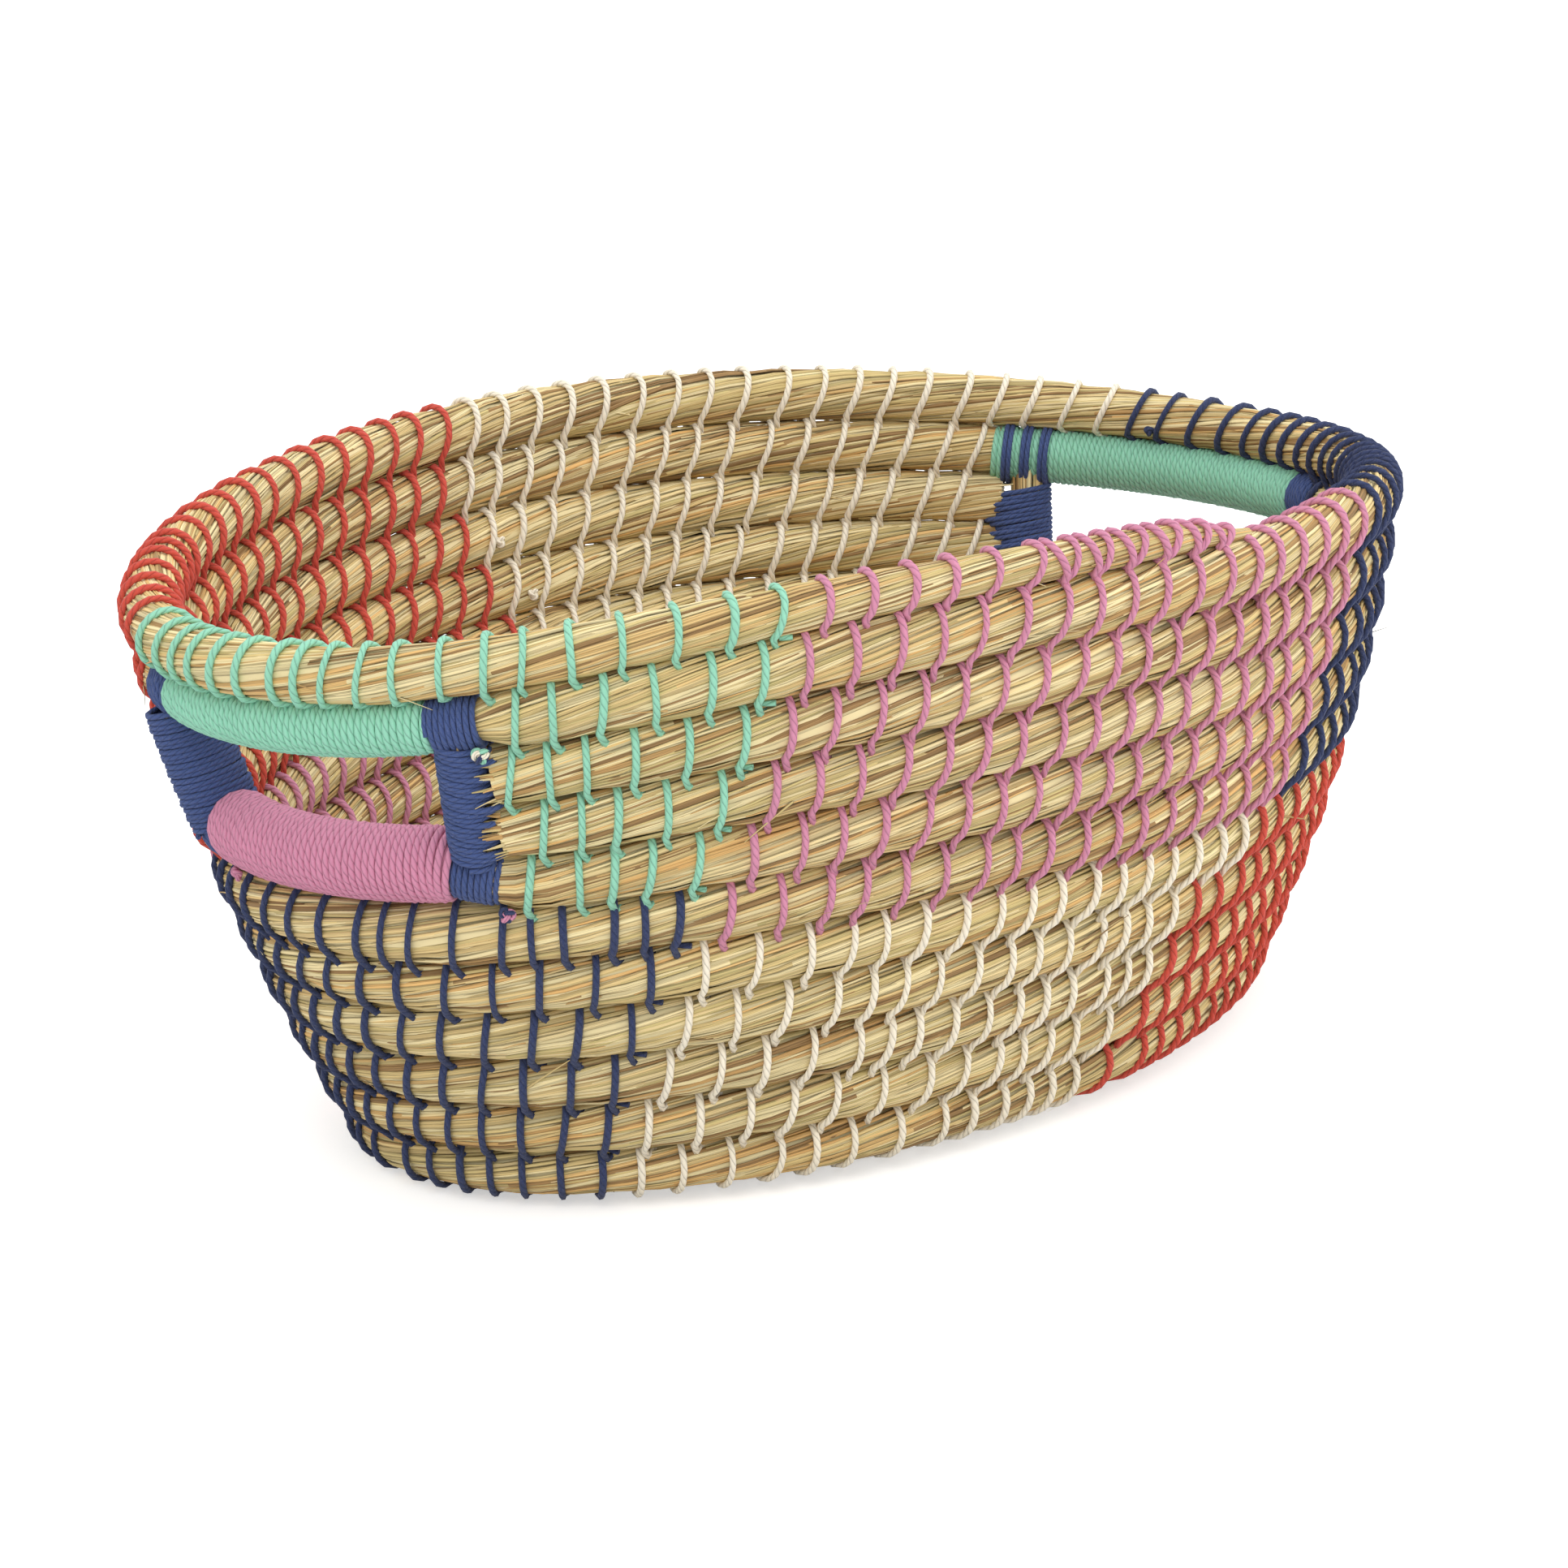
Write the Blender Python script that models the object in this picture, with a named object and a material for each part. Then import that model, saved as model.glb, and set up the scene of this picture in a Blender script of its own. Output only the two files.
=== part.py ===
"""Oval coiled grass basket with a hand grip at each end. Metres, +Z up, standing on Z = 0.

A grass bundle starts as a flat oval spiral, climbs as the wall and ends in a thin tail on
the rim. A place along it is a turn: turn 1 is the tail's tip, turn 0 is a row below it, and
so on down to the floor. Rows are counted down from the rim, which is row 0.
"""

import math

import bmesh
import bpy
import numpy as np
from mathutils import Matrix

# Overall size, measured over the grass bundle
RIM_LENGTH = 0.500
RIM_WIDTH = 0.378
BASE_LENGTH = 0.382
BASE_WIDTH = 0.242
WALL_HEIGHT = 0.217
WALL_ROWS = 11

# How the hand-made wall departs from a plain cone
BELLY_SHARE = 0.52
RIM_SWAY = 0.0087
RIM_TILT = 0.0034
RIM_DRIFT = 0.0075
JOG_SHARE = 0.25
JOG_LENGTH_SHARE = 0.045
FRONT_RISE = 0.0064
FRONT_RISE_ANGLE = math.radians(247)
FRONT_RISE_SPREAD = math.radians(52)

# The grass bundle, its start in the floor and its tail on the rim
BUNDLE_THICKNESS = 0.0194
BUNDLE_GAP = 0.0005
START_THICKNESS = 0.0054
START_ANGLE = math.radians(10)
START_TAPER_SHARE = 0.25
START_TAPER_POWER = 2.7
STRAIGHTNESS_SHARE = 0.03
FLOOR_RINGS = 5
FOOT_CUT = 0.0020
TAIL_ANGLE = math.radians(286)
TAIL_SHARE = 0.255
TAIL_THICKNESS = 0.0096
TIP_SHARE = 0.03
TIP_STOPS = 5
TIP_THINNING_SHARE = 0.35

# The two grips
GRIP_ANGLES = {"right": math.radians(10.5), "left": math.radians(189.5)}
GRIP_OPENINGS = {"right": 0.118, "left": 0.112}
SILL_NARROWING = 0.015
LINTEL_ROW = 1
SILL_ROW = 4
SILL_RISE = 0.0065
SILL_RAMP = 0.0260
POST_THICKNESS = 0.0215
TIE_WIDTH = 0.0150
TIE_THICKNESS = 0.0186
GRIP_WRAP_THICKNESS = 0.0188
SILL_WRAP_THICKNESS = 0.0258
WAIST_RAMP = 0.0050

# The cord, and the gaps that keep the pieces apart
CORD = 0.0030
CORD_GAP = 0.0005
SEAT_GAP = 0.0003
POST_SEAT_GAP = 0.0001
CORE_GAP = 0.0004
ROW_END_GAP = 0.0023
GRIP_LOOPS = 22
POST_LOOPS = 7
TIE_LOOPS = 3

# How finely the curves are drawn
POINTS_PER_TURN = 32
BESIDE_SHARE = 0.25
APART_SHARE = 0.4
NEAR_SHARE = 0.0015
WELD = 1e-6
POINTS_PER_LOOP = 8
SIDES = 8
CORD_SIDES = 4
SHARP_ANGLE = math.radians(50)

# Colour and roughness of each stuff
GRASS = ((0.55, 0.41, 0.20, 1), 0.75)
MINT = ((0.28, 0.60, 0.45, 1), 0.9)
PINK = ((0.55, 0.24, 0.35, 1), 0.9)
BLUE = ((0.067, 0.102, 0.246, 1), 0.9)

# Worked out from the sizes above
RADIUS = BUNDLE_THICKNESS / 2
ROW_STEPS = WALL_ROWS - 1
CLIMB = WALL_HEIGHT - BUNDLE_THICKNESS
FOOT_TURN = 0.5 - ROW_STEPS
FOOT_HEIGHT = RADIUS - FOOT_CUT
FOOT_ANGLE = TAIL_ANGLE + 2 * math.pi * FOOT_TURN
FLOOR_TURNS = FLOOR_RINGS + (FOOT_ANGLE - START_ANGLE) / (2 * math.pi) % 1
START_TURN = FOOT_TURN - FLOOR_TURNS
RING_STEP = (BASE_WIDTH / 2 - RADIUS) / (FLOOR_TURNS + 1 / 4)
LOOP_FLATTENING = math.cos(math.pi / POINTS_PER_LOOP)
HALF_STEP = 0.5 / POINTS_PER_TURN
SIDE_ANGLE = 2 * math.pi / SIDES


def angle_of(turn):
    return TAIL_ANGLE + 2 * math.pi * turn


def turn_at(row, angle):
    """The turn at which a row passes an angle."""
    return (angle - TAIL_ANGLE) / (2 * math.pi) % 1 - row


def smooth(share):
    share = min(max(share, 0), 1)
    return share * share * (3 - 2 * share)


def height_share(turn):
    """0 where the wall leaves the floor and 1 halfway along the rim. Higher rows climb faster
    just past the tail's angle, which takes up part of the step that the tail leaves."""
    climbed = max(turn - FOOT_TURN, 0) / ROW_STEPS
    way = turn % 1
    jog = JOG_SHARE * (1 - math.exp(-way / JOG_LENGTH_SHARE) - way)
    return climbed * (1 + jog / ROW_STEPS)


def floor_place(turn):
    """The flat spiral: an oval at its edge, with straighter sides towards the middle. Each
    ring makes room for the next where that one starts to climb. The first pass lies a quarter
    of a ring from the middle, so that the pass beside it is a whole ring away."""
    rings, part = divmod(FOOT_TURN - turn, 1)
    inset = (rings + math.sqrt(part * (2 - part))) * RING_STEP
    half_width = BASE_WIDTH / 2 - RADIUS - inset
    straight = (BASE_LENGTH - BASE_WIDTH) / 2
    squareness = min(inset / (BASE_WIDTH / 2 - RADIUS), 1)
    cosine = math.cos(angle_of(turn))
    flat = cosine * math.sqrt((1 + STRAIGHTNESS_SHARE) / (cosine**2 + STRAIGHTNESS_SHARE))
    reach = straight * (cosine + squareness * (flat - cosine)) + half_width * cosine
    return reach + RIM_DRIFT, half_width * math.sin(angle_of(turn))


def wall_place(turn, share):
    """The wall's oval at a height. It grows fastest near the floor, and drifts to -X."""
    spread = share + BELLY_SHARE * share * (1 - share)
    half_length = (BASE_LENGTH + (RIM_LENGTH - BASE_LENGTH) * spread) / 2 - RADIUS
    half_width = (BASE_WIDTH + (RIM_WIDTH - BASE_WIDTH) * spread) / 2 - RADIUS
    x = half_length * math.cos(angle_of(turn)) + RIM_DRIFT * (1 - share)
    return x, half_width * math.sin(angle_of(turn))


def front_rise(angle):
    """How much higher the rows stand below the tail, which leaves them more of the height."""
    off = abs((angle - FRONT_RISE_ANGLE + math.pi) % (2 * math.pi) - math.pi)
    return FRONT_RISE * (1 + math.cos(math.pi * min(off / FRONT_RISE_SPREAD, 1))) / 2


def plain_place(turn):
    """The centre of the bundle at a turn, before the sills are raised."""
    share = height_share(turn)
    x, y = wall_place(turn, share) if turn > FOOT_TURN else floor_place(turn)
    angle = angle_of(turn)
    lift = -RIM_SWAY * math.cos(2 * angle) - RIM_TILT * math.sin(angle)
    lift = share * share * lift + share * (2 - share) * front_rise(angle)
    return np.array((x, y, FOOT_HEIGHT + CLIMB * share + lift))


def along(turn, length):
    """The turn that lies a real length further along the bundle."""
    run = np.linalg.norm(plain_place(turn + HALF_STEP) - plain_place(turn - HALF_STEP))
    return turn + length * 2 * HALF_STEP / run


def opening_length(row, side):
    """An opening narrows evenly from its lintel down to its sill."""
    down = (row - LINTEL_ROW) / (SILL_ROW - LINTEL_ROW)
    return GRIP_OPENINGS[side] - SILL_NARROWING * down


def opening(row, side):
    """The turns at which a row meets the two ends of a grip's opening."""
    middle = turn_at(row, GRIP_ANGLES[side])
    half = opening_length(row, side) / 2
    return along(middle, -half), along(middle, half)


def past_posts(row, side, gap=0.0):
    """The turns at which a row meets the outer faces of the posts beside an opening."""
    start, end = opening(row, side)
    return along(start, -POST_THICKNESS - gap), along(end, POST_THICKNESS + gap)


def sill_stops(side):
    """The turns where the sill starts to rise, is up, starts to fall and is down again."""
    start, end = opening(SILL_ROW, side)
    return along(start, -SILL_RAMP), start, end, along(end, SILL_RAMP)


def sill_lift(turn):
    """The sill stands higher between its posts."""
    shares = [np.interp(turn, sill_stops(side), (0, 1, 1, 0)) for side in GRIP_ANGLES]
    return SILL_RISE * sum(shares)


def place(turn):
    """The centre of the bundle at a turn, before its tail is thinned."""
    point = plain_place(turn)
    if -SILL_ROW <= turn < 1 - SILL_ROW:
        point[2] += sill_lift(turn)
    return point


def cut_out(turn):
    """Whether an opening or its posts take this place out of the wall."""
    row = -math.floor(turn)
    if not LINTEL_ROW < row < SILL_ROW:
        return False
    spans = [past_posts(row, side) for side in GRIP_ANGLES]
    return any(start <= turn <= end for start, end in spans)


def ways_to(point, line):
    """The way from a point to each stretch of a broken line, and how far along that it ends."""
    start, run = line[:-1], line[1:] - line[:-1]
    share = np.clip(((point - start) * run).sum(1) / (run * run).sum(1), 0, 1)
    return start + run * share[:, None] - point, share


def way_to(point, line):
    """The shortest way from a point to a broken line."""
    ways, _ = ways_to(point, line)
    return ways[np.linalg.norm(ways, axis=1).argmin()]


class Bundle:
    """The whole spiral, sampled at the same angles on every turn and where a sill bends. A
    flat side of it faces the turns beside it, as close as leaves the same small gap."""

    def __init__(self):
        first = math.ceil(START_TURN * POINTS_PER_TURN)
        even = np.arange(first, POINTS_PER_TURN + 1) / POINTS_PER_TURN
        bends = [stop for side in GRIP_ANGLES for stop in sill_stops(side)]
        tip = np.linspace(1 - TIP_SHARE, 1, TIP_STOPS, endpoint=False)
        self.turns = np.sort(np.concatenate([even, bends, tip]))
        self.points = np.array([place(turn) for turn in self.turns])
        self.cut = np.array([cut_out(turn) for turn in self.turns])
        fits = [self.fit_beside(index) for index in range(len(self.turns))]
        self.radii, self.leans = np.transpose(fits)
        self.leans = np.unwrap(self.leans, period=SIDE_ANGLE)
        self.thin_start()
        self.thin_tail()

    def fit_beside(self, index):
        """The radius to the corners of a sample, and the lean of the side that faces the
        turn beside it."""
        turn, point = self.turns[index], self.points[index]
        forward = place(turn + HALF_STEP) - place(turn - HALF_STEP)
        out = np.cross(forward, (0, 0, 1))
        up = np.cross(out, forward)
        distances, bearings = [BUNDLE_THICKNESS + BUNDLE_GAP], []
        for middle in (turn + 1, turn - 1):
            near = (np.abs(self.turns - middle) < BESIDE_SHARE) & ~self.cut
            if near.sum() > 1:
                way = way_to(point, self.points[near])
                distances.append(np.linalg.norm(way))
                across, rise = way @ out / np.linalg.norm(out), way @ up / np.linalg.norm(up)
                bearings.append(math.atan2(across, rise))
        lean = bearings[0]
        radii = []
        for distance, bearing in zip(distances, [lean, *bearings]):
            aside = (bearing - lean + SIDE_ANGLE / 2) % SIDE_ANGLE - SIDE_ANGLE / 2
            widening = math.cos(aside) / math.cos(SIDE_ANGLE / 2)
            radii.append((distance - BUNDLE_GAP) / 2 * widening)
        return min(radii), lean

    def thin_start(self):
        """The coil starts thin, where it doubles back close beside itself."""
        grown = np.clip((self.turns - self.turns[0]) / START_TAPER_SHARE, 0, 1)
        thinnest = START_THICKNESS / BUNDLE_THICKNESS
        self.radii *= thinnest + (1 - thinnest) * grown**START_TAPER_POWER

    def thin_tail(self):
        """The tail thins evenly, then fast at its tip, and stays down on the row below."""
        for index, turn in enumerate(self.turns):
            share = min(max((turn - 1 + TAIL_SHARE) / TAIL_SHARE, 0), 1)
            tip = TIP_THINNING_SHARE + (1 - TIP_THINNING_SHARE) * smooth((1 - turn) / TIP_SHARE)
            radius = self.radii[index]
            loss = radius - (radius + (TAIL_THICKNESS / 2 - radius) * share) * tip
            if loss > 0:
                up = self.points[index] - plain_place(turn - 1)
                self.points[index] -= up / np.linalg.norm(up) * loss
                self.radii[index] -= loss

    def least_gap(self):
        """The least gap of the coil to its own later turns, between the flat sides that face,
        and the turn where that is."""
        whole = ~self.cut
        flat = math.cos(SIDE_ANGLE / 2)
        found = []
        for turn, point, radius in zip(self.turns[whole], self.points[whole], self.radii[whole]):
            ahead = self.turns - turn
            later = (ahead > APART_SHARE) & (ahead < 1 + BESIDE_SHARE)
            kept, girths = whole[later], self.radii[later]
            kept = kept[:-1] & kept[1:]
            if kept.any():
                ways, share = ways_to(point, self.points[later])
                girths = girths[:-1] + (girths[1:] - girths[:-1]) * share
                gaps = np.linalg.norm(ways, axis=1) - (radius + girths) * flat
                found.append((gaps[kept].min(), turn))
        return min(found)

    def at(self, turn):
        """The centre and radius on the straight stretches between samples."""
        centre = [np.interp(turn, self.turns, self.points[:, axis]) for axis in range(3)]
        return np.array(centre), float(np.interp(turn, self.turns, self.radii))

    def frame(self, turn):
        """The centre, and the unit vectors out of the basket and up the wall."""
        forward = self.at(turn + HALF_STEP)[0] - self.at(turn - HALF_STEP)[0]
        out = np.cross(forward, (0, 0, 1))
        out /= np.linalg.norm(out)
        up = np.cross(out, forward)
        return self.at(turn)[0], out, up / np.linalg.norm(up)

    def stretch(self, start, end, waists):
        """The centres, radii and leans from one turn to another, narrowed at each waist."""
        inside = (self.turns > start + NEAR_SHARE) & (self.turns < end - NEAR_SHARE)
        stops = {start, end, *self.turns[inside]}
        for low, high, _ in waists:
            stops |= {along(low, -WAIST_RAMP), low, high, along(high, WAIST_RAMP)}
        turns = sorted(stops)
        points = [self.at(turn)[0] for turn in turns]
        radii = [self.waisted(turn, waists) for turn in turns]
        return points, radii, np.interp(turns, self.turns, self.leans)

    def waisted(self, turn, waists):
        full = self.at(turn)[1]
        radius = full
        for low, high, waist in waists:
            ramp = along(high, WAIST_RAMP) - high
            away = min(max(low - turn, turn - high, 0) / ramp, 1)
            radius = min(radius, waist + (full - waist) * away)
        return radius


def core_radius(thickness):
    """The radius of a bar that a cord wraps to a thickness."""
    return (thickness - CORD) / 2 * LOOP_FLATTENING - CORD / 2 - CORE_GAP


def make_collection(name):
    group = bpy.data.collections.new(name)
    bpy.context.scene.collection.children.link(group)
    return group


def make_material(name, look):
    colour, roughness = look
    finish = bpy.data.materials.new(name)
    finish.use_nodes = True
    shader = finish.node_tree.nodes["Principled BSDF"]
    shader.inputs["Base Color"].default_value = colour
    shader.inputs["Roughness"].default_value = roughness
    finish.diffuse_color = colour
    return finish


def tube(name, points, radii, sides, finish, group, leans=None):
    """A round bar along a broken line, with flat ends. With leans, its sides keep turned to
    the turns beside it."""
    widest = max(radii)
    data = bpy.data.curves.new(name, "CURVE")
    data.dimensions = "3D"
    data.twist_mode = "MINIMUM" if leans is None else "Z_UP"
    data.bevel_depth = widest
    data.bevel_resolution = (sides - 4) // 2
    data.use_fill_caps = True
    line = data.splines.new("POLY")
    line.points.add(len(points) - 1)
    for slot, point, radius in zip(line.points, points, radii):
        slot.co = (*point, 1)
        slot.radius = radius / widest
    for slot, lean in zip(line.points, () if leans is None else leans):
        slot.tilt = SIDE_ANGLE / 2 + lean
    line.use_smooth = True
    data.materials.append(finish)
    bar = bpy.data.objects.new(name, data)
    group.objects.link(bar)
    return bar


def as_mesh(bar, group):
    """The same bar as a mesh with welded ends, which a Boolean can cut."""
    bpy.context.view_layer.update()
    graph = bpy.context.evaluated_depsgraph_get()
    mesh = bpy.data.meshes.new_from_object(bar.evaluated_get(graph))
    shape = bmesh.new()
    shape.from_mesh(mesh)
    bmesh.ops.remove_doubles(shape, verts=shape.verts, dist=WELD)
    bmesh.ops.recalc_face_normals(shape, faces=shape.faces)
    shape.to_mesh(mesh)
    shape.free()
    mesh.shade_smooth()
    mesh.set_sharp_from_angle(angle=SHARP_ANGLE)
    name, pose = bar.name, bar.matrix_world.copy()
    bpy.data.objects.remove(bar)
    part = bpy.data.objects.new(name, mesh)
    part.matrix_world = pose
    group.objects.link(part)
    return part


def make_floor_cutter(group):
    """A block under the floor, wider than the basket."""
    block = bpy.data.objects.new("floor_cutter", bpy.data.meshes.new("floor_cutter"))
    shape = bmesh.new()
    bmesh.ops.create_cube(shape, size=RIM_LENGTH)
    wide = Matrix.Diagonal((2, 2, 1, 1))
    bmesh.ops.transform(shape, matrix=wide, verts=shape.verts)
    bmesh.ops.translate(shape, vec=(0, 0, -RIM_LENGTH / 2), verts=shape.verts)
    shape.to_mesh(block.data)
    shape.free()
    block.hide_render = True
    block.display_type = "WIRE"
    group.objects.link(block)
    return block


def flatten_foot(part, cutter):
    """Trims the underside to a flat strip that stands on the floor."""
    trim = part.modifiers.new("foot", "BOOLEAN")
    trim.operation = "DIFFERENCE"
    trim.object = cutter


def least_gap(points, thickness):
    """The least gap of a wound cord to itself, measured on its points."""
    gaps = []
    for index in range(len(points) - POINTS_PER_LOOP):
        ahead = points[index + POINTS_PER_LOOP - 1 :]
        gaps.append(np.linalg.norm(way_to(points[index], ahead)))
    return min(gaps, default=math.inf) - thickness


def winding(name, axis, length, most_loops, thickness, finish, group):
    """A cord wound as one unbroken helix. axis gives the centre and two directions across
    it at each share of the length."""
    loops = min(most_loops, int((length - CORD) / (CORD + 2 * CORD_GAP)))
    radius = (thickness - CORD) / 2
    steps = loops * POINTS_PER_LOOP
    points = []
    for step in range(steps + 1):
        angle = 2 * math.pi * step / POINTS_PER_LOOP
        centre, out, up = axis(step / steps)
        points.append(centre + radius * (math.cos(angle) * out + math.sin(angle) * up))
    points = np.array(points)
    print(f"{name}: {loops} loops, least gap {1000 * least_gap(points, CORD):.2f} mm")
    radii = [CORD / 2] * len(points)
    tube(name, points, radii, CORD_SIDES, finish, group)


def wrap_bundle(name, bundle, middle, width, loops, thickness, finish, group):
    """A cord wound round the bundle itself."""
    start = along(middle, -(width - CORD) / 2)
    end = along(middle, (width - CORD) / 2)
    axis = lambda share: bundle.frame(start + (end - start) * share)
    winding(name, axis, width, loops, thickness, finish, group)


def post_places(side):
    """The name of each post beside an opening, and which way it lies from its end."""
    near, far = ("front", "back") if side == "right" else ("back", "front")
    return (near, 0, -1), (far, 1, 1)


def post_turn(row, side, end, way):
    return along(opening(row, side)[end], way * POST_THICKNESS / 2)


def seat_on_tie(bundle, turn, rise):
    """How far from the middle of a tied row the flat end of a post touches its tie, and how
    far from that end its binding starts, so that this clears the tie too."""
    forward = bundle.at(along(turn, TIE_WIDTH / 2))[0] - bundle.at(along(turn, -TIE_WIDTH / 2))[0]
    sine = abs(forward @ rise) / np.linalg.norm(forward)
    core = core_radius(POST_THICKNESS)
    reach = (TIE_THICKNESS / 2 + POST_SEAT_GAP + core * sine) / math.sqrt(1 - sine**2)
    return reach, CORD / 2 + (POST_THICKNESS / 2 - core) * sine


def make_post(name, bundle, turns, grass, cord, group):
    """The cut ends of the rows gathered upright between sill and lintel, with their binding."""
    top, foot = (bundle.at(turn)[0] for turn in turns)
    rise = (top - foot) / np.linalg.norm(top - foot)
    (top_seat, top_skirt), (foot_seat, foot_skirt) = (
        seat_on_tie(bundle, turn, rise) for turn in turns
    )
    top -= rise * top_seat
    foot += rise * foot_seat
    radii = [core_radius(POST_THICKNESS)] * 2
    tube(f"{name}_post", [foot, top], radii, SIDES, grass, group)
    out = bundle.frame(turns[0])[1]
    across = np.cross(rise, out)
    across /= np.linalg.norm(across)
    start, end = foot + rise * foot_skirt, top - rise * top_skirt
    axis = lambda share: (start + (end - start) * share, out, across)
    length = np.linalg.norm(end - start) + CORD
    winding(f"{name}_post_binding", axis, length, POST_LOOPS, POST_THICKNESS, cord, group)


def make_grip(side, bundle, finishes, group):
    """The wraps on the lintel and the sill of one opening, with its posts and ties."""
    bars = (
        ("grip", LINTEL_ROW, GRIP_WRAP_THICKNESS, finishes["mint"]),
        ("sill", SILL_ROW, SILL_WRAP_THICKNESS, finishes["pink"]),
    )
    for bar, row, thickness, finish in bars:
        middle = turn_at(row, GRIP_ANGLES[side])
        name = f"{side}_{bar}_wrap"
        clear = opening_length(row, side) - CORD
        wrap_bundle(name, bundle, middle, clear, GRIP_LOOPS, thickness, finish, group)
    for end_name, end, way in post_places(side):
        name = f"{side}_{end_name}"
        turns = [post_turn(row, side, end, way) for row in (LINTEL_ROW, SILL_ROW)]
        make_post(name, bundle, turns, finishes["grass"], finishes["blue"], group)
        for tie, turn in zip(("upper", "lower"), turns):
            wrap_bundle(
                f"{name}_{tie}_tie", bundle, turn, TIE_WIDTH, TIE_LOOPS, TIE_THICKNESS,
                finishes["blue"], group,
            )


def waists_of(row, wrap_thickness):
    """Where the cord draws a row thinner: under both grips' wraps and all their ties."""
    waists = []
    for side in GRIP_ANGLES:
        start, end = opening(row, side)
        for _, index, way in post_places(side):
            middle = post_turn(row, side, index, way)
            half = (TIE_WIDTH + CORD) / 2
            tied = along(middle, -half), along(middle, half), core_radius(TIE_THICKNESS)
            waists.append(tied)
        waists.append((start, end, core_radius(wrap_thickness)))
    return waists


def make_grass(bundle, grass, group, cutter):
    """The spiral, in the stretches that the two openings leave."""
    gap = ROW_END_GAP
    foot, tier, rim = FOOT_TURN + HALF_STEP, HALF_STEP - SILL_ROW, HALF_STEP
    lintel = waists_of(LINTEL_ROW, GRIP_WRAP_THICKNESS)
    sill = waists_of(SILL_ROW, SILL_WRAP_THICKNESS)
    low, high = SILL_ROW - 1, LINTEL_ROW + 1
    stretches = {
        "base_coil": (bundle.turns[0], foot, ()),
        "lower_wall_coil": (along(foot, SEAT_GAP), tier, ()),
        "sill_coil": (along(tier, SEAT_GAP), past_posts(low, "right", gap)[0], sill),
        "back_wall_coil_lower": (
            past_posts(low, "right", gap)[1], past_posts(low, "left", gap)[0], ()
        ),
        "back_wall_coil_upper": (
            past_posts(high, "right", gap)[1], past_posts(high, "left", gap)[0], ()
        ),
        "front_wall_coil": (
            past_posts(low, "left", gap)[1], past_posts(high, "right", gap)[0], ()
        ),
        "lintel_coil": (past_posts(high, "left", gap)[1], rim, lintel),
        "rim_coil": (along(rim, SEAT_GAP), 1, ()),
    }
    for name, (start, end, waists) in stretches.items():
        points, radii, leans = bundle.stretch(start, end, waists)
        bar = tube(name, points, radii, SIDES, grass, group, leans)
        if name in ("base_coil", "lower_wall_coil"):
            flatten_foot(as_mesh(bar, group), cutter)


def centre_on_footprint(group):
    """Puts the middle of the basket's outline over the origin."""
    bpy.context.view_layer.update()
    graph = bpy.context.evaluated_depsgraph_get()
    corners = []
    for part in group.objects:
        shape = part.evaluated_get(graph).to_mesh()
        spots = np.empty(3 * len(shape.vertices), np.float32)
        shape.vertices.foreach_get("co", spots)
        spots = spots.reshape(-1, 3)
        corners += [spots.min(0), spots.max(0)]
    middle = (np.min(corners, axis=0) + np.max(corners, axis=0)) / 2
    holder = bpy.data.objects.new("basket", None)
    holder.location = (-float(middle[0]), -float(middle[1]), 0)
    group.objects.link(holder)
    for part in list(group.objects):
        if part is not holder:
            part.parent = holder


def main():
    for item in list(bpy.data.objects):
        bpy.data.objects.remove(item)
    group = make_collection("coiled_basket")
    cutters = make_collection("cutters")
    looks = {"grass": GRASS, "mint": MINT, "pink": PINK, "blue": BLUE}
    finishes = {name: make_material(name, look) for name, look in looks.items()}
    bundle = Bundle()
    gap, turn = bundle.least_gap()
    print(f"grass coil: least gap {1000 * gap:.2f} mm, at turn {turn:.2f}")
    make_grass(bundle, finishes["grass"], group, make_floor_cutter(cutters))
    for side in GRIP_ANGLES:
        make_grip(side, bundle, finishes, group)
    centre_on_footprint(group)


main()
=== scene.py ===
"""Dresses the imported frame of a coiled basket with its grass, cord stitches and wrapped grips.

Metres, +Z up. A place along the grass bundle is a turn: turn 1 is the tail's tip on the rim,
turn 0 is a row below it, and so on down to the floor. The rim is row 0.
"""

import math

import bpy
import numpy as np
from mathutils import Matrix, Vector


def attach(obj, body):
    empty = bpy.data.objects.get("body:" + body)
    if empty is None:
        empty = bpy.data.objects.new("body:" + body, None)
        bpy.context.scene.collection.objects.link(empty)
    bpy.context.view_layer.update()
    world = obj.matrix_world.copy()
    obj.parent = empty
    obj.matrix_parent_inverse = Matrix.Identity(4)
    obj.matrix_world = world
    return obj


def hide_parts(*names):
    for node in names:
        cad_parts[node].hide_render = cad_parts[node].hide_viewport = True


bl_info = {
    "name": "Coiled basket",
    "version": (1, 0, 0),
    "blender": (4, 5, 0),
    "location": "3D View > Sidebar > Basket",
    "description": "Grass coils, coloured cord stitches and wrapped grips of an oval basket",
    "category": "Object",
}

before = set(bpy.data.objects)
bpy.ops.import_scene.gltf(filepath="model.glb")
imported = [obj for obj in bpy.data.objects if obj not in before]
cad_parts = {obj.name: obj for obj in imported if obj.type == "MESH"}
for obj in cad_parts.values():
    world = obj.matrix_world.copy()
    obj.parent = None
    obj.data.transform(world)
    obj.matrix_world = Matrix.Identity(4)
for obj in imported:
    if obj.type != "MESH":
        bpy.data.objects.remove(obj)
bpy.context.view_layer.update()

# How the wall departs from a plain cone, as in the frame
BELLY_SHARE = 0.52
RIM_SWAY = 0.0087
RIM_TILT = 0.0034
RIM_DRIFT = 0.0075
JOG_SHARE = 0.25
JOG_LENGTH_SHARE = 0.045
FRONT_RISE = 0.0064
FRONT_RISE_ANGLE = math.radians(247)
FRONT_RISE_SPREAD = math.radians(52)
STRAIGHTNESS_SHARE = 0.03
FLOOR_RINGS = 5
FOOT_CUT = 0.0020
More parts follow.
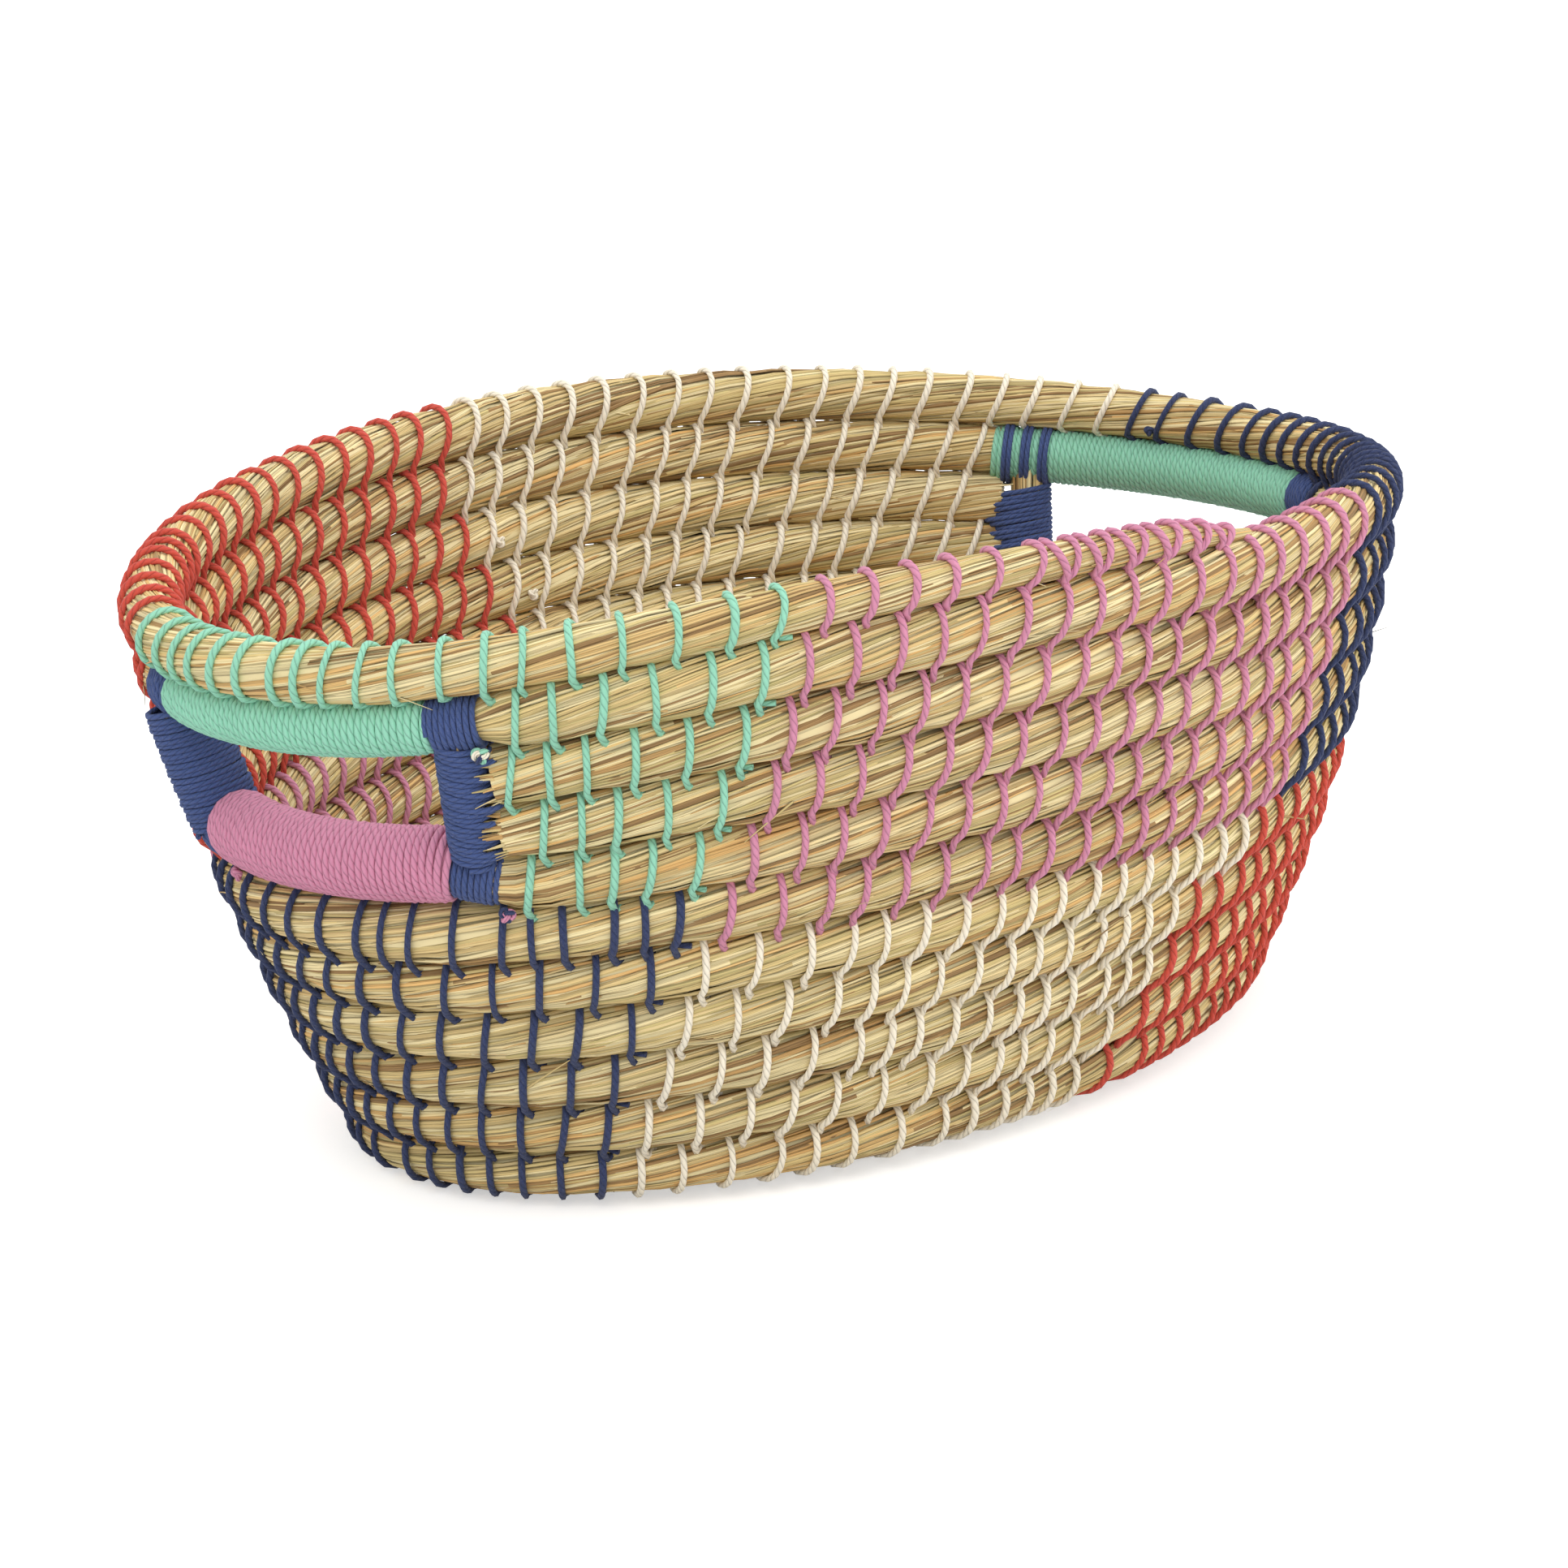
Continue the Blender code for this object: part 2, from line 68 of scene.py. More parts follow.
FOOTPRINT_MIDDLE = np.array((0.000648, -0.001118, 0.0))

# Where things are: angles round the basket from +X, and rows counted down from the rim
TAIL_ANGLE = math.radians(286)
START_ANGLE = math.radians(10)
GRIP_ANGLES = {"right": math.radians(10.5), "left": math.radians(189.5)}
LINTEL_ROW = 1
SILL_ROW = 4
SILL_RISE = 0.0065
SILL_RAMP = 0.0260
ROW_END_GAP = 0.0003

# The coil's two ends. The shares are of a turn
START_THICKNESS = 0.0100
START_TAPER_SHARE = 0.25
START_TAPER_POWER = 1.7
UNEVEN_RINGS = 2.2
MIDDLE_FULLER = 0.10
TAIL_SHARE = 0.255
TAIL_THICKNESS = 0.0096
TAIL_END = 1.001
TIP_SHARE = 0.03
TIP_THINNING_SHARE = 0.35

# How thick a row is for the room between its neighbours
ROW_FULLNESS = 1.03
THINNEST_ROW = 0.0055
THICKEST_ROW_SHARE = 1.17
WIDER_THAN_HIGH = 1.15
PINCH_REACH = 0.0032
FLOOR_PRESS = 0.0016

# How finely the coil's line is measured
FINE_STEPS = 9000
HALF_STEP = 1 / 64
SPOT = 1e-9

# Where the stitches go
FIRST_STITCH = 0.006
LAST_STITCH = 0.003
HAND_WANDER = 0.0004
STITCH_SEED = 11
STITCH_CLEAR = 0.001
END_CLOSENESS = 0.12
CROWDED_SHARE = 0.6
EXTRA_STITCH_SHARE = 0.58
EVENING_SHARE = 0.2

# How a stitch lies. The doubled ones are on the tail
CORD_OFF_SHARE = 0.28
FOOT_SWEEP = 0.0034
INNER_LEAD = 0.0036
INNER_BOW = 0.0012
DOUBLED_SHARE = 0.060
TAIL_TILT = 0.0046
PLAIN_SWEEP = 0.3
TAIL_SWEEP = 0.5
TAIL_SWEEP_FROM = 222
TAIL_SWEEP_TO = 345
TAIL_SWEEP_RAMP = 60
ROW_SPREAD, ROW_REACH = 0.35, 0.22
WRAP_SPREAD, WRAP_REACH = -0.3, -0.02

# The wraps, ties and bindings of the grips. Closeness is the step from turn to turn in cords
WRAP_CLOSENESS = 0.90
TIE_CLOSENESS = 0.92
BINDING_CLOSENESS = 0.92
WRAP_STEP = 0.0015
WRAP_TUCK = 0.0034
END_DRAW = 0.0009
END_RAMP = 0.0030
WINDING_WANDER = 0.12
WINDING_LIFT = 0.0007
UNDER_SIDES = 24
UNDER_WRAP = 0.0035
UNDER_WRAP_RAMP = 0.004
BANDED = ("right", "grip")
BANDED_TIE = ("right", "upper", 1)
BAND_PROUD = 0.0032
BAND_TURNS = 2.0
BINDING_STEPS = 181
BINDING_SLANT = 0.12
TURNS_PER_TOOTH = 3.0
TOOTH_RAMP_SHARE = 0.06
BULGE_AT_FOOT = 0.45

# Where the four bindings differ
OUTER_BULGES = {"left_back": 0.0040}
EXTRA_WIDTHS = {"right_back": 0.0050}
TOP_GAPS = {"right_back": 0.0150}
TOP_GAP = 0.0052
FOOT_GAPS = {"left_back": 0.0010}
FOOT_GAP = 0.0062

# The gathered grass inside a binding
GATHERED_STRANDS = 60
GATHERED_TWIST = 1.5
GATHERED_FROM, GATHERED_TO, GATHERED_STEPS = 0.07, 0.93, 9
GATHERED_THINNER, GATHERED_NARROWER = 0.0038, 0.0034

# Loose straws, grass tips, knots and cord ends
STRAW_SEED, TIP_SEED, END_SEED = 23, 31, 41
STRAW_LAST_TURN = 0.99
STRAW_HEIGHT_SHARE = 0.8
STRAW_SIDES = (0.3, 0.7)
STRAW_SPREAD = (0.35, 1.15)
STRAW_LENGTHS = (0.006, 0.020)
STRAW_CURLS = (0.0002, 0.0022)
STRAW_GIRTHS = (0.4, 1.2)
STRAW_SKEW = 0.35
STRAW_BLADE = 0.0012
TIP_LENGTHS = (0.004, 0.0085)
TIP_SPLAYS = (0.05, 0.28)
TIP_CURLS = (-0.0004, 0.0012)
TIP_GIRTHS = (0.7, 1.5)
TIP_BLADE = 0.0014
TIP_DEPTH_SHARE = 0.93
TIP_GAP = 0.001
KNOT_CORD = 0.0017
KNOT_POINTS = 40
KNOT_PHASE = 0.7
KNOT_TURN, KNOT_AXIS = 1.1, (1.0, 0.4, 0.2)
TREFOIL_SPAN = 6
END_CORD = 0.0021
END_POINTS = 6
END_LENGTHS = (0.0022, 0.0045)
END_LIFTS = (0.38, 0.56)
END_DEPTH_SHARE = 0.93

# The look of the grass. A blade's colour goes by its random share
GRASS_ROUGHNESS, GRASS_SHINE = 0.62, 0.35
BLADE_COLOURS = (
    (0.0, "grass_brown"),
    (0.10, "grass_brown"),
    (0.16, "grass_warm"),
    (0.28, "grass"),
    (0.45, "grass_green"),
    (0.60, "grass"),
    (0.82, "grass_pale"),
)
CHANGES_PER_METRE = 2.2
STREAK_DARK, STREAK_LIGHT = 0.70, 1.15
FIBRE_SHARE = 0.42
PALE_PATCH_SHARE = 0.18
ROUNDED_SHARE = 0.55
GRASS_BUMP, GRASS_BUMP_HEIGHT = 0.25, 0.0004

# The look of the cord
CORD_ROUGHNESS, CORD_SHINE = 0.85, 0.15
CORD_SHEEN, CORD_SHEEN_ROUGHNESS = 0.08, 0.6
PLY_SLANT, PLY_TURNS = 1.5, 900.0
PLY_WANDER, WANDERS_PER_METRE = 9.0, 26.0
# Painted shade in the grooves between the plies: how much of it, and how far it darkens the
# cord's colour
GROOVE_SHADE_SHARE, GROOVE_SHADE_DARK = 0.6, 0.42
FUZZ_SHARE, FUZZ_WHITE, FUZZ_SCALE = 0.12, 0.6, 1600.0
CLOUD_SHARE, CLOUD_DARK, CLOUD_SCALE = 0.15, 0.7, 60.0
PLY_HEIGHT, FUZZ_HEIGHT = 0.7, 0.35
CORD_BUMP, CORD_BUMP_HEIGHT = 0.8, 0.0005

# How fine the meshes are, and how much their repeated pieces differ
STITCH_POINTS = 16
STITCH_SIDES = 6
WINDING_SIDES = 7
STRAW_POINTS = 5
BLADE_SIDES = 3
BLADE_FLATNESS = 0.42
STRAW_FLATNESS = 0.35
BLADE_WIDTHS = (0.45, 1.55)
BLADE_DEPTHS = (0.925, 0.985)
BLADE_PINCH = 0.06
BLADE_JITTER = 0.3
DRIFTS_PER_METRE, LUMPS_PER_METRE = 9.0, 22.0
LUMP_DEPTH = 0.03
LUMP_WIDTHS = (0.75, 1.25)
THINNEST_BLADE_SHARE = 0.35
CORE_SHARE = 0.945
CORE_PINCH = 0.0004
STITCH_LEANS = (0.55, 1.45)
STITCH_THICKNESSES = (0.9, 1.1)
STITCH_DEEP_FROM, STITCH_DEEP_TO = -0.72, -0.92
STITCH_FOOT_FROM, STITCH_FOOT_TO = -0.45, -0.95
STRAW_TAPER = 0.7

# The stage
CAMERA_TARGET = Vector((-0.006, -0.0025, 0.1067))
SENSOR_WIDTH = 36
NEAREST_SEEN = 0.05
FLOOR_HALF = 4.0
FLOOR_HEIGHT = -0.0004
FLOOR_ROUGHNESS, FLOOR_PAINT, FLOOR_GLOW = 0.9, (0.8, 0.8, 0.8), (0.5, 0.5, 0.5)
LAMP_TARGET = Vector((0, 0, 0.1))
# Each lamp's share of the key light's power, its place and its size
LAMPS = (
    ("key_lamp", 1.0, (-1.0, -1.3, 1.6), 1.2),
    ("fill_lamp", 1.1, (1.5, -1.2, 1.0), 1.2),
    ("top_lamp", 0.7, (0.2, 0.6, 1.9), 1.4),
)

CORDS = ("navy", "pink", "coral", "cream", "mint")


def tone(red, green, blue):
    """A colour given as it shows on screen, from 0 to 255, as Blender's linear numbers."""
    shares = [value / 255 for value in (red, green, blue)]
    return [s / 12.92 if s <= 0.04045 else ((s + 0.055) / 1.055) ** 2.4 for s in shares]


def length_setting(label, says, size):
    """A length in metres that a user would change."""
    return bpy.props.FloatProperty(
        name=label, description=says, default=size, unit="LENGTH", precision=4, min=0
    )


def angle_setting(label, says, degrees):
    """An angle that a user would change, given here in degrees."""
    return bpy.props.FloatProperty(
        name=label, description=says, default=math.radians(degrees), subtype="ANGLE"
    )


def count_setting(label, says, count):
    """A whole number that a user would change."""
    return bpy.props.IntProperty(name=label, description=says, default=count, min=1)


def share_setting(label, says, share):
    """A share from 0 to 1 that a user would change."""
    return bpy.props.FloatProperty(
        name=label, description=says, default=share, subtype="FACTOR", min=0, soft_max=1
    )


def colour_setting(label, says, red, green, blue):
    """A colour that a user would change, given here from 0 to 255."""
    return bpy.props.FloatVectorProperty(
        name=label, description=says, default=tone(red, green, blue), subtype="COLOR",
        size=3, min=0, max=1,
    )


class BasketSizes(bpy.types.PropertyGroup):
    """The sizes that a user would change."""

    rim_length: length_setting("Rim length", "Over the grass at the rim, grip to grip", 0.500)
    rim_width: length_setting("Rim width", "Over the grass at the rim, side to side", 0.378)
    base_length: length_setting("Base length", "Over the lowest row, grip to grip", 0.382)
    base_width: length_setting("Base width", "Over the lowest row, side to side", 0.242)
    wall_height: length_setting("Wall height", "Middle of the rim's top over the floor", 0.217)
    wall_rows: count_setting("Wall rows", "Rows from the floor to the rim", 11)
    bundle: length_setting("Grass bundle", "Thickness of the coiled grass", 0.0194)
    stitch_gap: length_setting("Stitch spacing", "From one stitch to the next", 0.0140)
    stitch_climb: length_setting("Stitch climb", "How far each row's stitch lags", 0.0082)
    stitch_cord: length_setting("Stitch cord", "Thickness of the stitching cord", 0.0026)
    wrap_cord: length_setting("Wrap cord", "Thickness of the grips' wrapped cord", 0.0027)
    post_cord: length_setting("Post cord", "Thickness of the posts' blue cord", 0.0021)
    right_opening: length_setting("Right opening", "Length of that hand hole's top", 0.118)
    left_opening: length_setting("Left opening", "Length of that hand hole's top", 0.112)
    narrowing: length_setting("Narrowing", "How much shorter a hand hole is at its sill", 0.015)
    post: length_setting("Grip post", "Width of the posts beside a hand hole", 0.0215)
    post_depth: length_setting("Post depth", "Thickness of the posts through the wall", 0.0245)
    tooth: length_setting("Binding tooth", "How far the binding's teeth reach out", 0.0060)
    tie: length_setting("Tie", "Width of the ties over and under a post", 0.0160)
    band_gap: length_setting("Band gap", "Between the bands over the right grip", 0.0078)
    tie_extra: length_setting("Tie extra", "How much thicker a tie is than the wrap", 0.0012)
    grip_wrap: length_setting("Grip wrap", "Thickness over the mint wrap", 0.0198)
    right_thicker: length_setting("Right grip extra", "How much thicker its wrap is", 0.0026)
    sill_wrap: length_setting("Sill wrap", "Thickness over the pink wrap", 0.0262)
    strands: count_setting("Grass strands", "Blades round one bundle", 74)
    blade: length_setting("Grass blade", "Width of one blade", 0.0016)
    twist: length_setting("Grass twist", "Length in which the grass turns once", 0.340)
    straws: count_setting("Loose straws", "Torn bits and stray straws", 260)
    tips: count_setting("Grass tips", "Cut tips at each row that ends at a post", 46)
    grass_step: length_setting("Grass step", "Length of a blade's straight pieces", 0.0098)


class BasketColours(bpy.types.PropertyGroup):
    """The colours that a user would change."""

    grass: colour_setting("Grass", "Most of the dried grass", 220, 192, 132)
    grass_pale: colour_setting("Pale grass", "The palest blades", 238, 220, 168)
    grass_warm: colour_setting("Warm grass", "Orange tan blades", 226, 180, 112)
    grass_green: colour_setting("Green grass", "Greenish grey blades", 202, 184, 124)
    grass_brown: colour_setting("Brown grass", "The darkest blades", 158, 124, 78)
    grass_dark: colour_setting("Dark grass", "Gaps and dark fibres", 104, 76, 40)
    navy: colour_setting("Navy cord", "Dark blue stitches", 54, 64, 100)
    pink: colour_setting("Pink cord", "Pink stitches and sill wraps", 214, 142, 170)
    coral: colour_setting("Coral cord", "Red stitches", 212, 84, 70)
    cream: colour_setting("Cream cord", "Undyed stitches", 250, 240, 219)
    mint: colour_setting("Mint cord", "Green stitches and grip wraps", 152, 216, 188)
    blue: colour_setting("Blue cord", "The posts' cord", 70, 88, 138)


class StageSettings(bpy.types.PropertyGroup):
    """Where the camera stands, and the light."""

    distance: length_setting("Camera distance", "From the camera to what it looks at", 1.645)
    bearing: angle_setting("Camera bearing", "How far round from the front", -37.583)
    rise: angle_setting("Camera rise", "How far above level it looks from", 17.39)
    roll: angle_setting("Camera roll", "Turn of the picture", -2.2)
    lens: bpy.props.FloatProperty(
        name="Lens", description="Focal length", default=103.1, unit="CAMERA"
    )
    sky: share_setting("Sky light", "Strength of the even light all round", 0.92)
    key: bpy.props.FloatProperty(
        name="Key light", description="Power of the large lamp", default=11.0, unit="POWER"
    )


def sizes():
    return bpy.context.scene.basket_sizes


def colours():
    return bpy.context.scene.basket_colours


def smooth(share):
    """Eases a share in and out between 0 and 1."""
    share = np.clip(share, 0, 1)
    return share * share * (3 - 2 * share)


def unit(vectors):
    """The vectors, each made one long."""
    return vectors / np.maximum(np.linalg.norm(vectors, axis=-1, keepdims=True), SPOT)


def dot(first, second):
    """The dot product of each pair of vectors."""
    return (first * second).sum(-1, keepdims=True)


class Coil:
    """The line that the grass bundle follows, with its girth. Turns may be arrays."""

    def __init__(self, given):
        self.given = given
        self.radius = given.bundle / 2
        self.steps = given.wall_rows - 1
        self.climb = given.wall_height - given.bundle
        self.foot = 0.5 - self.steps
        foot_angle = TAIL_ANGLE + 2 * math.pi * self.foot
        rings = FLOOR_RINGS + (foot_angle - START_ANGLE) / (2 * math.pi) % 1
        self.start = self.foot - rings
        self.ring_step = (given.base_width / 2 - self.radius) / (rings + 0.25)
        self.grips = {side: self.sill_stops(side) for side in GRIP_ANGLES}
        fine = np.linspace(self.start, 1.5, FINE_STEPS)
        strides = np.linalg.norm(np.diff(self.place(fine), axis=0), axis=1)
        self.fine_turns = fine
        self.fine_runs = np.concatenate([[0], np.cumsum(strides)])

    def angle_of(self, turn):
        """The angle round the basket at a turn."""
        return TAIL_ANGLE + 2 * math.pi * turn

    def turn_at(self, row, angle):
        """The turn at which a row passes an angle."""
        return (angle - TAIL_ANGLE) / (2 * math.pi) % 1 - row

    def height_share(self, turn):
        """How far up the wall a turn is. The coil steps up most where the tail ends."""
        climbed = np.maximum(turn - self.foot, 0) / self.steps
        way = turn % 1
        jog = JOG_SHARE * (1 - np.exp(-way / JOG_LENGTH_SHARE) - way)
        return climbed * (1 + jog / self.steps)

    def floor_place(self, turn):
        """Where the coil lies on the floor, as an oval that closes to a straight middle."""
        below = np.maximum(self.foot - turn, 0)
        rings = np.floor(below)
        part = below - rings
        inset = (rings + np.sqrt(part * (2 - part))) * self.ring_step
        half_width = self.given.base_width / 2 - self.radius - inset
        straight = (self.given.base_length - self.given.base_width) / 2
        squareness = np.minimum(inset / (self.given.base_width / 2 - self.radius), 1)
        cosine = np.cos(self.angle_of(turn))
        bend = cosine**2 + STRAIGHTNESS_SHARE
        flat = cosine * np.sqrt((1 + STRAIGHTNESS_SHARE) / bend)
        reach = straight * (cosine + squareness * (flat - cosine)) + half_width * cosine
        return reach + RIM_DRIFT, half_width * np.sin(self.angle_of(turn))

    def wall_place(self, turn, share):
        """Where the coil is seen from above, at a share of the height."""
        given = self.given
        spread = share + BELLY_SHARE * share * (1 - share)
        length = given.base_length + (given.rim_length - given.base_length) * spread
        width = given.base_width + (given.rim_width - given.base_width) * spread
        x = (length / 2 - self.radius) * np.cos(self.angle_of(turn)) + RIM_DRIFT * (1 - share)
        return x, (width / 2 - self.radius) * np.sin(self.angle_of(turn))

    def front_rise(self, angle):
        """How much higher the rows stand below the tail, which leaves them more height."""
        off = np.abs((angle - FRONT_RISE_ANGLE + math.pi) % (2 * math.pi) - math.pi)
        return FRONT_RISE * (1 + np.cos(math.pi * np.minimum(off / FRONT_RISE_SPREAD, 1))) / 2

    def plain_place(self, turn):
        """The middle of the bundle, before the sills are lifted."""
        turn = np.asarray(turn, float)
        share = self.height_share(turn)
        wall_x, wall_y = self.wall_place(turn, share)
        floor_x, floor_y = self.floor_place(turn)
        on_wall = turn > self.foot
        angle = self.angle_of(turn)
        lift = share * share * (-RIM_SWAY * np.cos(2 * angle) - RIM_TILT * np.sin(angle))
        lift = lift + share * (2 - share) * self.front_rise(angle)
        z = self.radius - FOOT_CUT + self.climb * share + lift
        x = np.where(on_wall, wall_x, floor_x)
        y = np.where(on_wall, wall_y, floor_y)
        return np.stack([x, y, z], axis=-1) + FOOTPRINT_MIDDLE

    def along(self, turn, length):
        """The turn that is a short length further along."""
        step = self.plain_place(turn + HALF_STEP) - self.plain_place(turn - HALF_STEP)
        return turn + length * 2 * HALF_STEP / np.linalg.norm(step, axis=-1)

    def opening(self, row, side):
        """The two turns between which a row crosses a hand hole."""
        middle = self.turn_at(row, GRIP_ANGLES[side])
        down = (row - LINTEL_ROW) / (SILL_ROW - LINTEL_ROW)
        top = getattr(self.given, f"{side}_opening")
        half = (top - self.given.narrowing * down) / 2
        return self.along(middle, -half), self.along(middle, half)

    def past_posts(self, row, side, gap=0.0):
        """The two turns just outside the posts beside a hand hole."""
        start, end = self.opening(row, side)
        wide = self.given.post + gap
        return self.along(start, -wide), self.along(end, wide)

    def sill_stops(self, side):
        """Where a sill starts to rise, is up, starts to fall and is down."""
        start, end = self.opening(SILL_ROW, side)
        return self.along(start, -SILL_RAMP), start, end, self.along(end, SILL_RAMP)

    def place(self, turn):
        """The middle of the bundle."""
        points = self.plain_place(turn)
        lift = sum(np.interp(turn, stops, (0, 1, 1, 0)) for stops in self.grips.values())
        points[..., 2] += SILL_RISE * lift
        return points

    def frames(self, turn):
        """The middle, the girths across and towards the next row, and the three directions:
        ahead, out of the basket, and up to the next row."""
        turn = np.atleast_1d(np.asarray(turn, float))
        middle = self.place(turn)
        ahead = unit(self.place(turn + HALF_STEP / 4) - self.place(turn - HALF_STEP / 4))
        above = self.place(turn + 1) - middle
        below = middle - self.place(np.maximum(turn - 1, self.start))
        inmost = (turn - 1 < self.start)[:, None]
        rise = np.where(inmost, above, above + below)
        up = unit(rise - dot(rise, ahead) * ahead)
        out = np.cross(ahead, up)
        over = np.linalg.norm(above - dot(above, ahead) * ahead, axis=-1)
        under = np.linalg.norm(below - dot(below, ahead) * ahead, axis=-1)
        under = np.where(inmost[:, 0], over, under)
        nearest = np.where(turn > self.foot + 1, (over + under) / 2, np.minimum(over, under))
        nearest = np.where(turn > 0, under, nearest)
        # The first rings lie unevenly, so they are fuller and close the floor's middle
        fuller = ROW_FULLNESS + MIDDLE_FULLER * np.clip(UNEVEN_RINGS - (turn - self.start), 0, 1)
        high = np.clip(nearest / 2 * fuller, THINNEST_ROW, self.radius * THICKEST_ROW_SHARE)
        wide = np.minimum(self.radius, high * WIDER_THAN_HIGH)
        thinnest = START_THICKNESS / self.given.bundle
        grown = np.clip((turn - self.start) / START_TAPER_SHARE, 0, 1)
        full = thinnest + (1 - thinnest) * grown**START_TAPER_POWER
        high = high * full
        wide = wide * full
        tail = np.clip((turn - 1 + TAIL_SHARE) / TAIL_SHARE, 0, 1)
        tip = smooth((TAIL_END - turn) / TIP_SHARE)
        tip = TIP_THINNING_SHARE + (1 - TIP_THINNING_SHARE) * tip
        left_high = (high + (TAIL_THICKNESS / 2 - high) * tail) * tip
        left_wide = (wide + (TAIL_THICKNESS / 2 - wide) * tail) * tip
        middle = middle - up * (high - left_high)[:, None]
        return middle, left_wide, left_high, ahead, out, up

    def run_of(self, turn):
        """The length along the coil from its start to a turn."""
        return np.interp(turn, self.fine_turns, self.fine_runs)

    def turn_after(self, run):
        """The turn at a length along the coil."""
        return np.interp(run, self.fine_runs, self.fine_turns)

    def spaced(self, start, end, gap):
        """Turns a real length apart."""
        first, last = self.run_of(start), self.run_of(end)
        count = max(int(round((last - first) / gap)), 2)
        return self.turn_after(np.linspace(first, last, count + 1))

    def degrees_at(self, turn):
        """The angle at a turn, in degrees from 0 to 360."""
        return math.degrees(self.angle_of(turn)) % 360


def is_vector(value):
    """Whether a value has several numbers, as a place or a colour has."""
    if isinstance(value, Field):
        return value.socket.type in ("VECTOR", "RGBA")
    return isinstance(value, (tuple, list, Vector))


class Field:
    """A node's output that Python's operators work on."""

    def __init__(self, graph, socket):
        self.graph = graph
        self.socket = socket

    def maths(self, operation, *values):
        return self.graph.maths(operation, *values)

    def __add__(self, other):
        return self.maths("ADD", self, other)

    def __radd__(self, other):
        return self.maths("ADD", other, self)

    def __sub__(self, other):
        return self.maths("SUBTRACT", self, other)

    def __rsub__(self, other):
        return self.maths("SUBTRACT", other, self)

    def __mul__(self, other):
        return self.maths("MULTIPLY", self, other)

    def __rmul__(self, other):
        return self.maths("MULTIPLY", other, self)

    def __truediv__(self, other):
        return self.maths("DIVIDE", self, other)

    def __neg__(self):
        return self.maths("MULTIPLY", self, -1.0)

    def call(self, operation, *others):
        """One Math node that has no sign of its own, such as a sine."""
        return self.maths(operation, self, *others)

    def other(self, name):
        """Another output of the same node."""
        return Field(self.graph, self.socket.node.outputs[name])


class Graph:
    """The nodes of one material or of one shape."""

    def __init__(self, tree):
        self.tree = tree

    def socket(self, sockets, key):
        """A socket by its number, or by its name or identifier."""
        if isinstance(key, int):
            return sockets[key]
        return next(s for s in sockets if s.enabled and key in (s.name, s.identifier))

    def add(self, kind, settings=None, sockets=None, output=None):
        """A new node with its settings, and with values or links on its sockets."""
        node = self.tree.nodes.new(kind)
        for name, value in (settings or {}).items():
            if name == "stops":
                self.set_stops(node.color_ramp, value)
            else:
                setattr(node, name, value)
        for key, value in (sockets or {}).items():
            slot = self.socket(node.inputs, key)
            if isinstance(value, Field):
                self.tree.links.new(value.socket, slot)
            else:
                slot.default_value = value
        if output is None:
            return Field(self, next(s for s in node.outputs if s.enabled))
        return Field(self, node.outputs[output])

    def set_stops(self, ramp, stops):
        """Gives a colour ramp its places and colours."""
        while len(ramp.elements) < len(stops):
            ramp.elements.new(1.0)
        for element, (place, colour) in zip(ramp.elements, stops):
            element.position = place
            element.color = (*colour, 1)

    def maths(self, operation, *values):
        if not any(is_vector(value) for value in values):
            sockets = dict(enumerate(values))
            return self.add("ShaderNodeMath", {"operation": operation}, sockets)
        plain = [value for value in values if not is_vector(value)]
        if operation == "MULTIPLY" and plain:
            vector = next(value for value in values if is_vector(value))
            sockets = {"Vector": vector, "Scale": plain[0]}
            return self.add("ShaderNodeVectorMath", {"operation": "SCALE"}, sockets)
        sockets = {}
        for index, value in enumerate(values):
            sockets[index] = value if is_vector(value) else (value, value, value)
        return self.add("ShaderNodeVectorMath", {"operation": operation}, sockets)

    def vector(self, x=0.0, y=0.0, z=0.0):
        return self.add("ShaderNodeCombineXYZ", None, {"X": x, "Y": y, "Z": z})

    def remap(self, value, low, high, first=0.0, last=1.0):
        """The value eased from one range to another."""
        return self.add(
            "ShaderNodeMapRange",
            {"interpolation_type": "SMOOTHSTEP"},
            {0: value, "From Min": low, "From Max": high, "To Min": first, "To Max": last},
        )

    def noise(self, place, scale, detail=2.0, roughness=0.5):
        sockets = {"Vector": place, "Scale": scale, "Detail": detail, "Roughness": roughness}
        return self.add("ShaderNodeTexNoise", None, sockets)


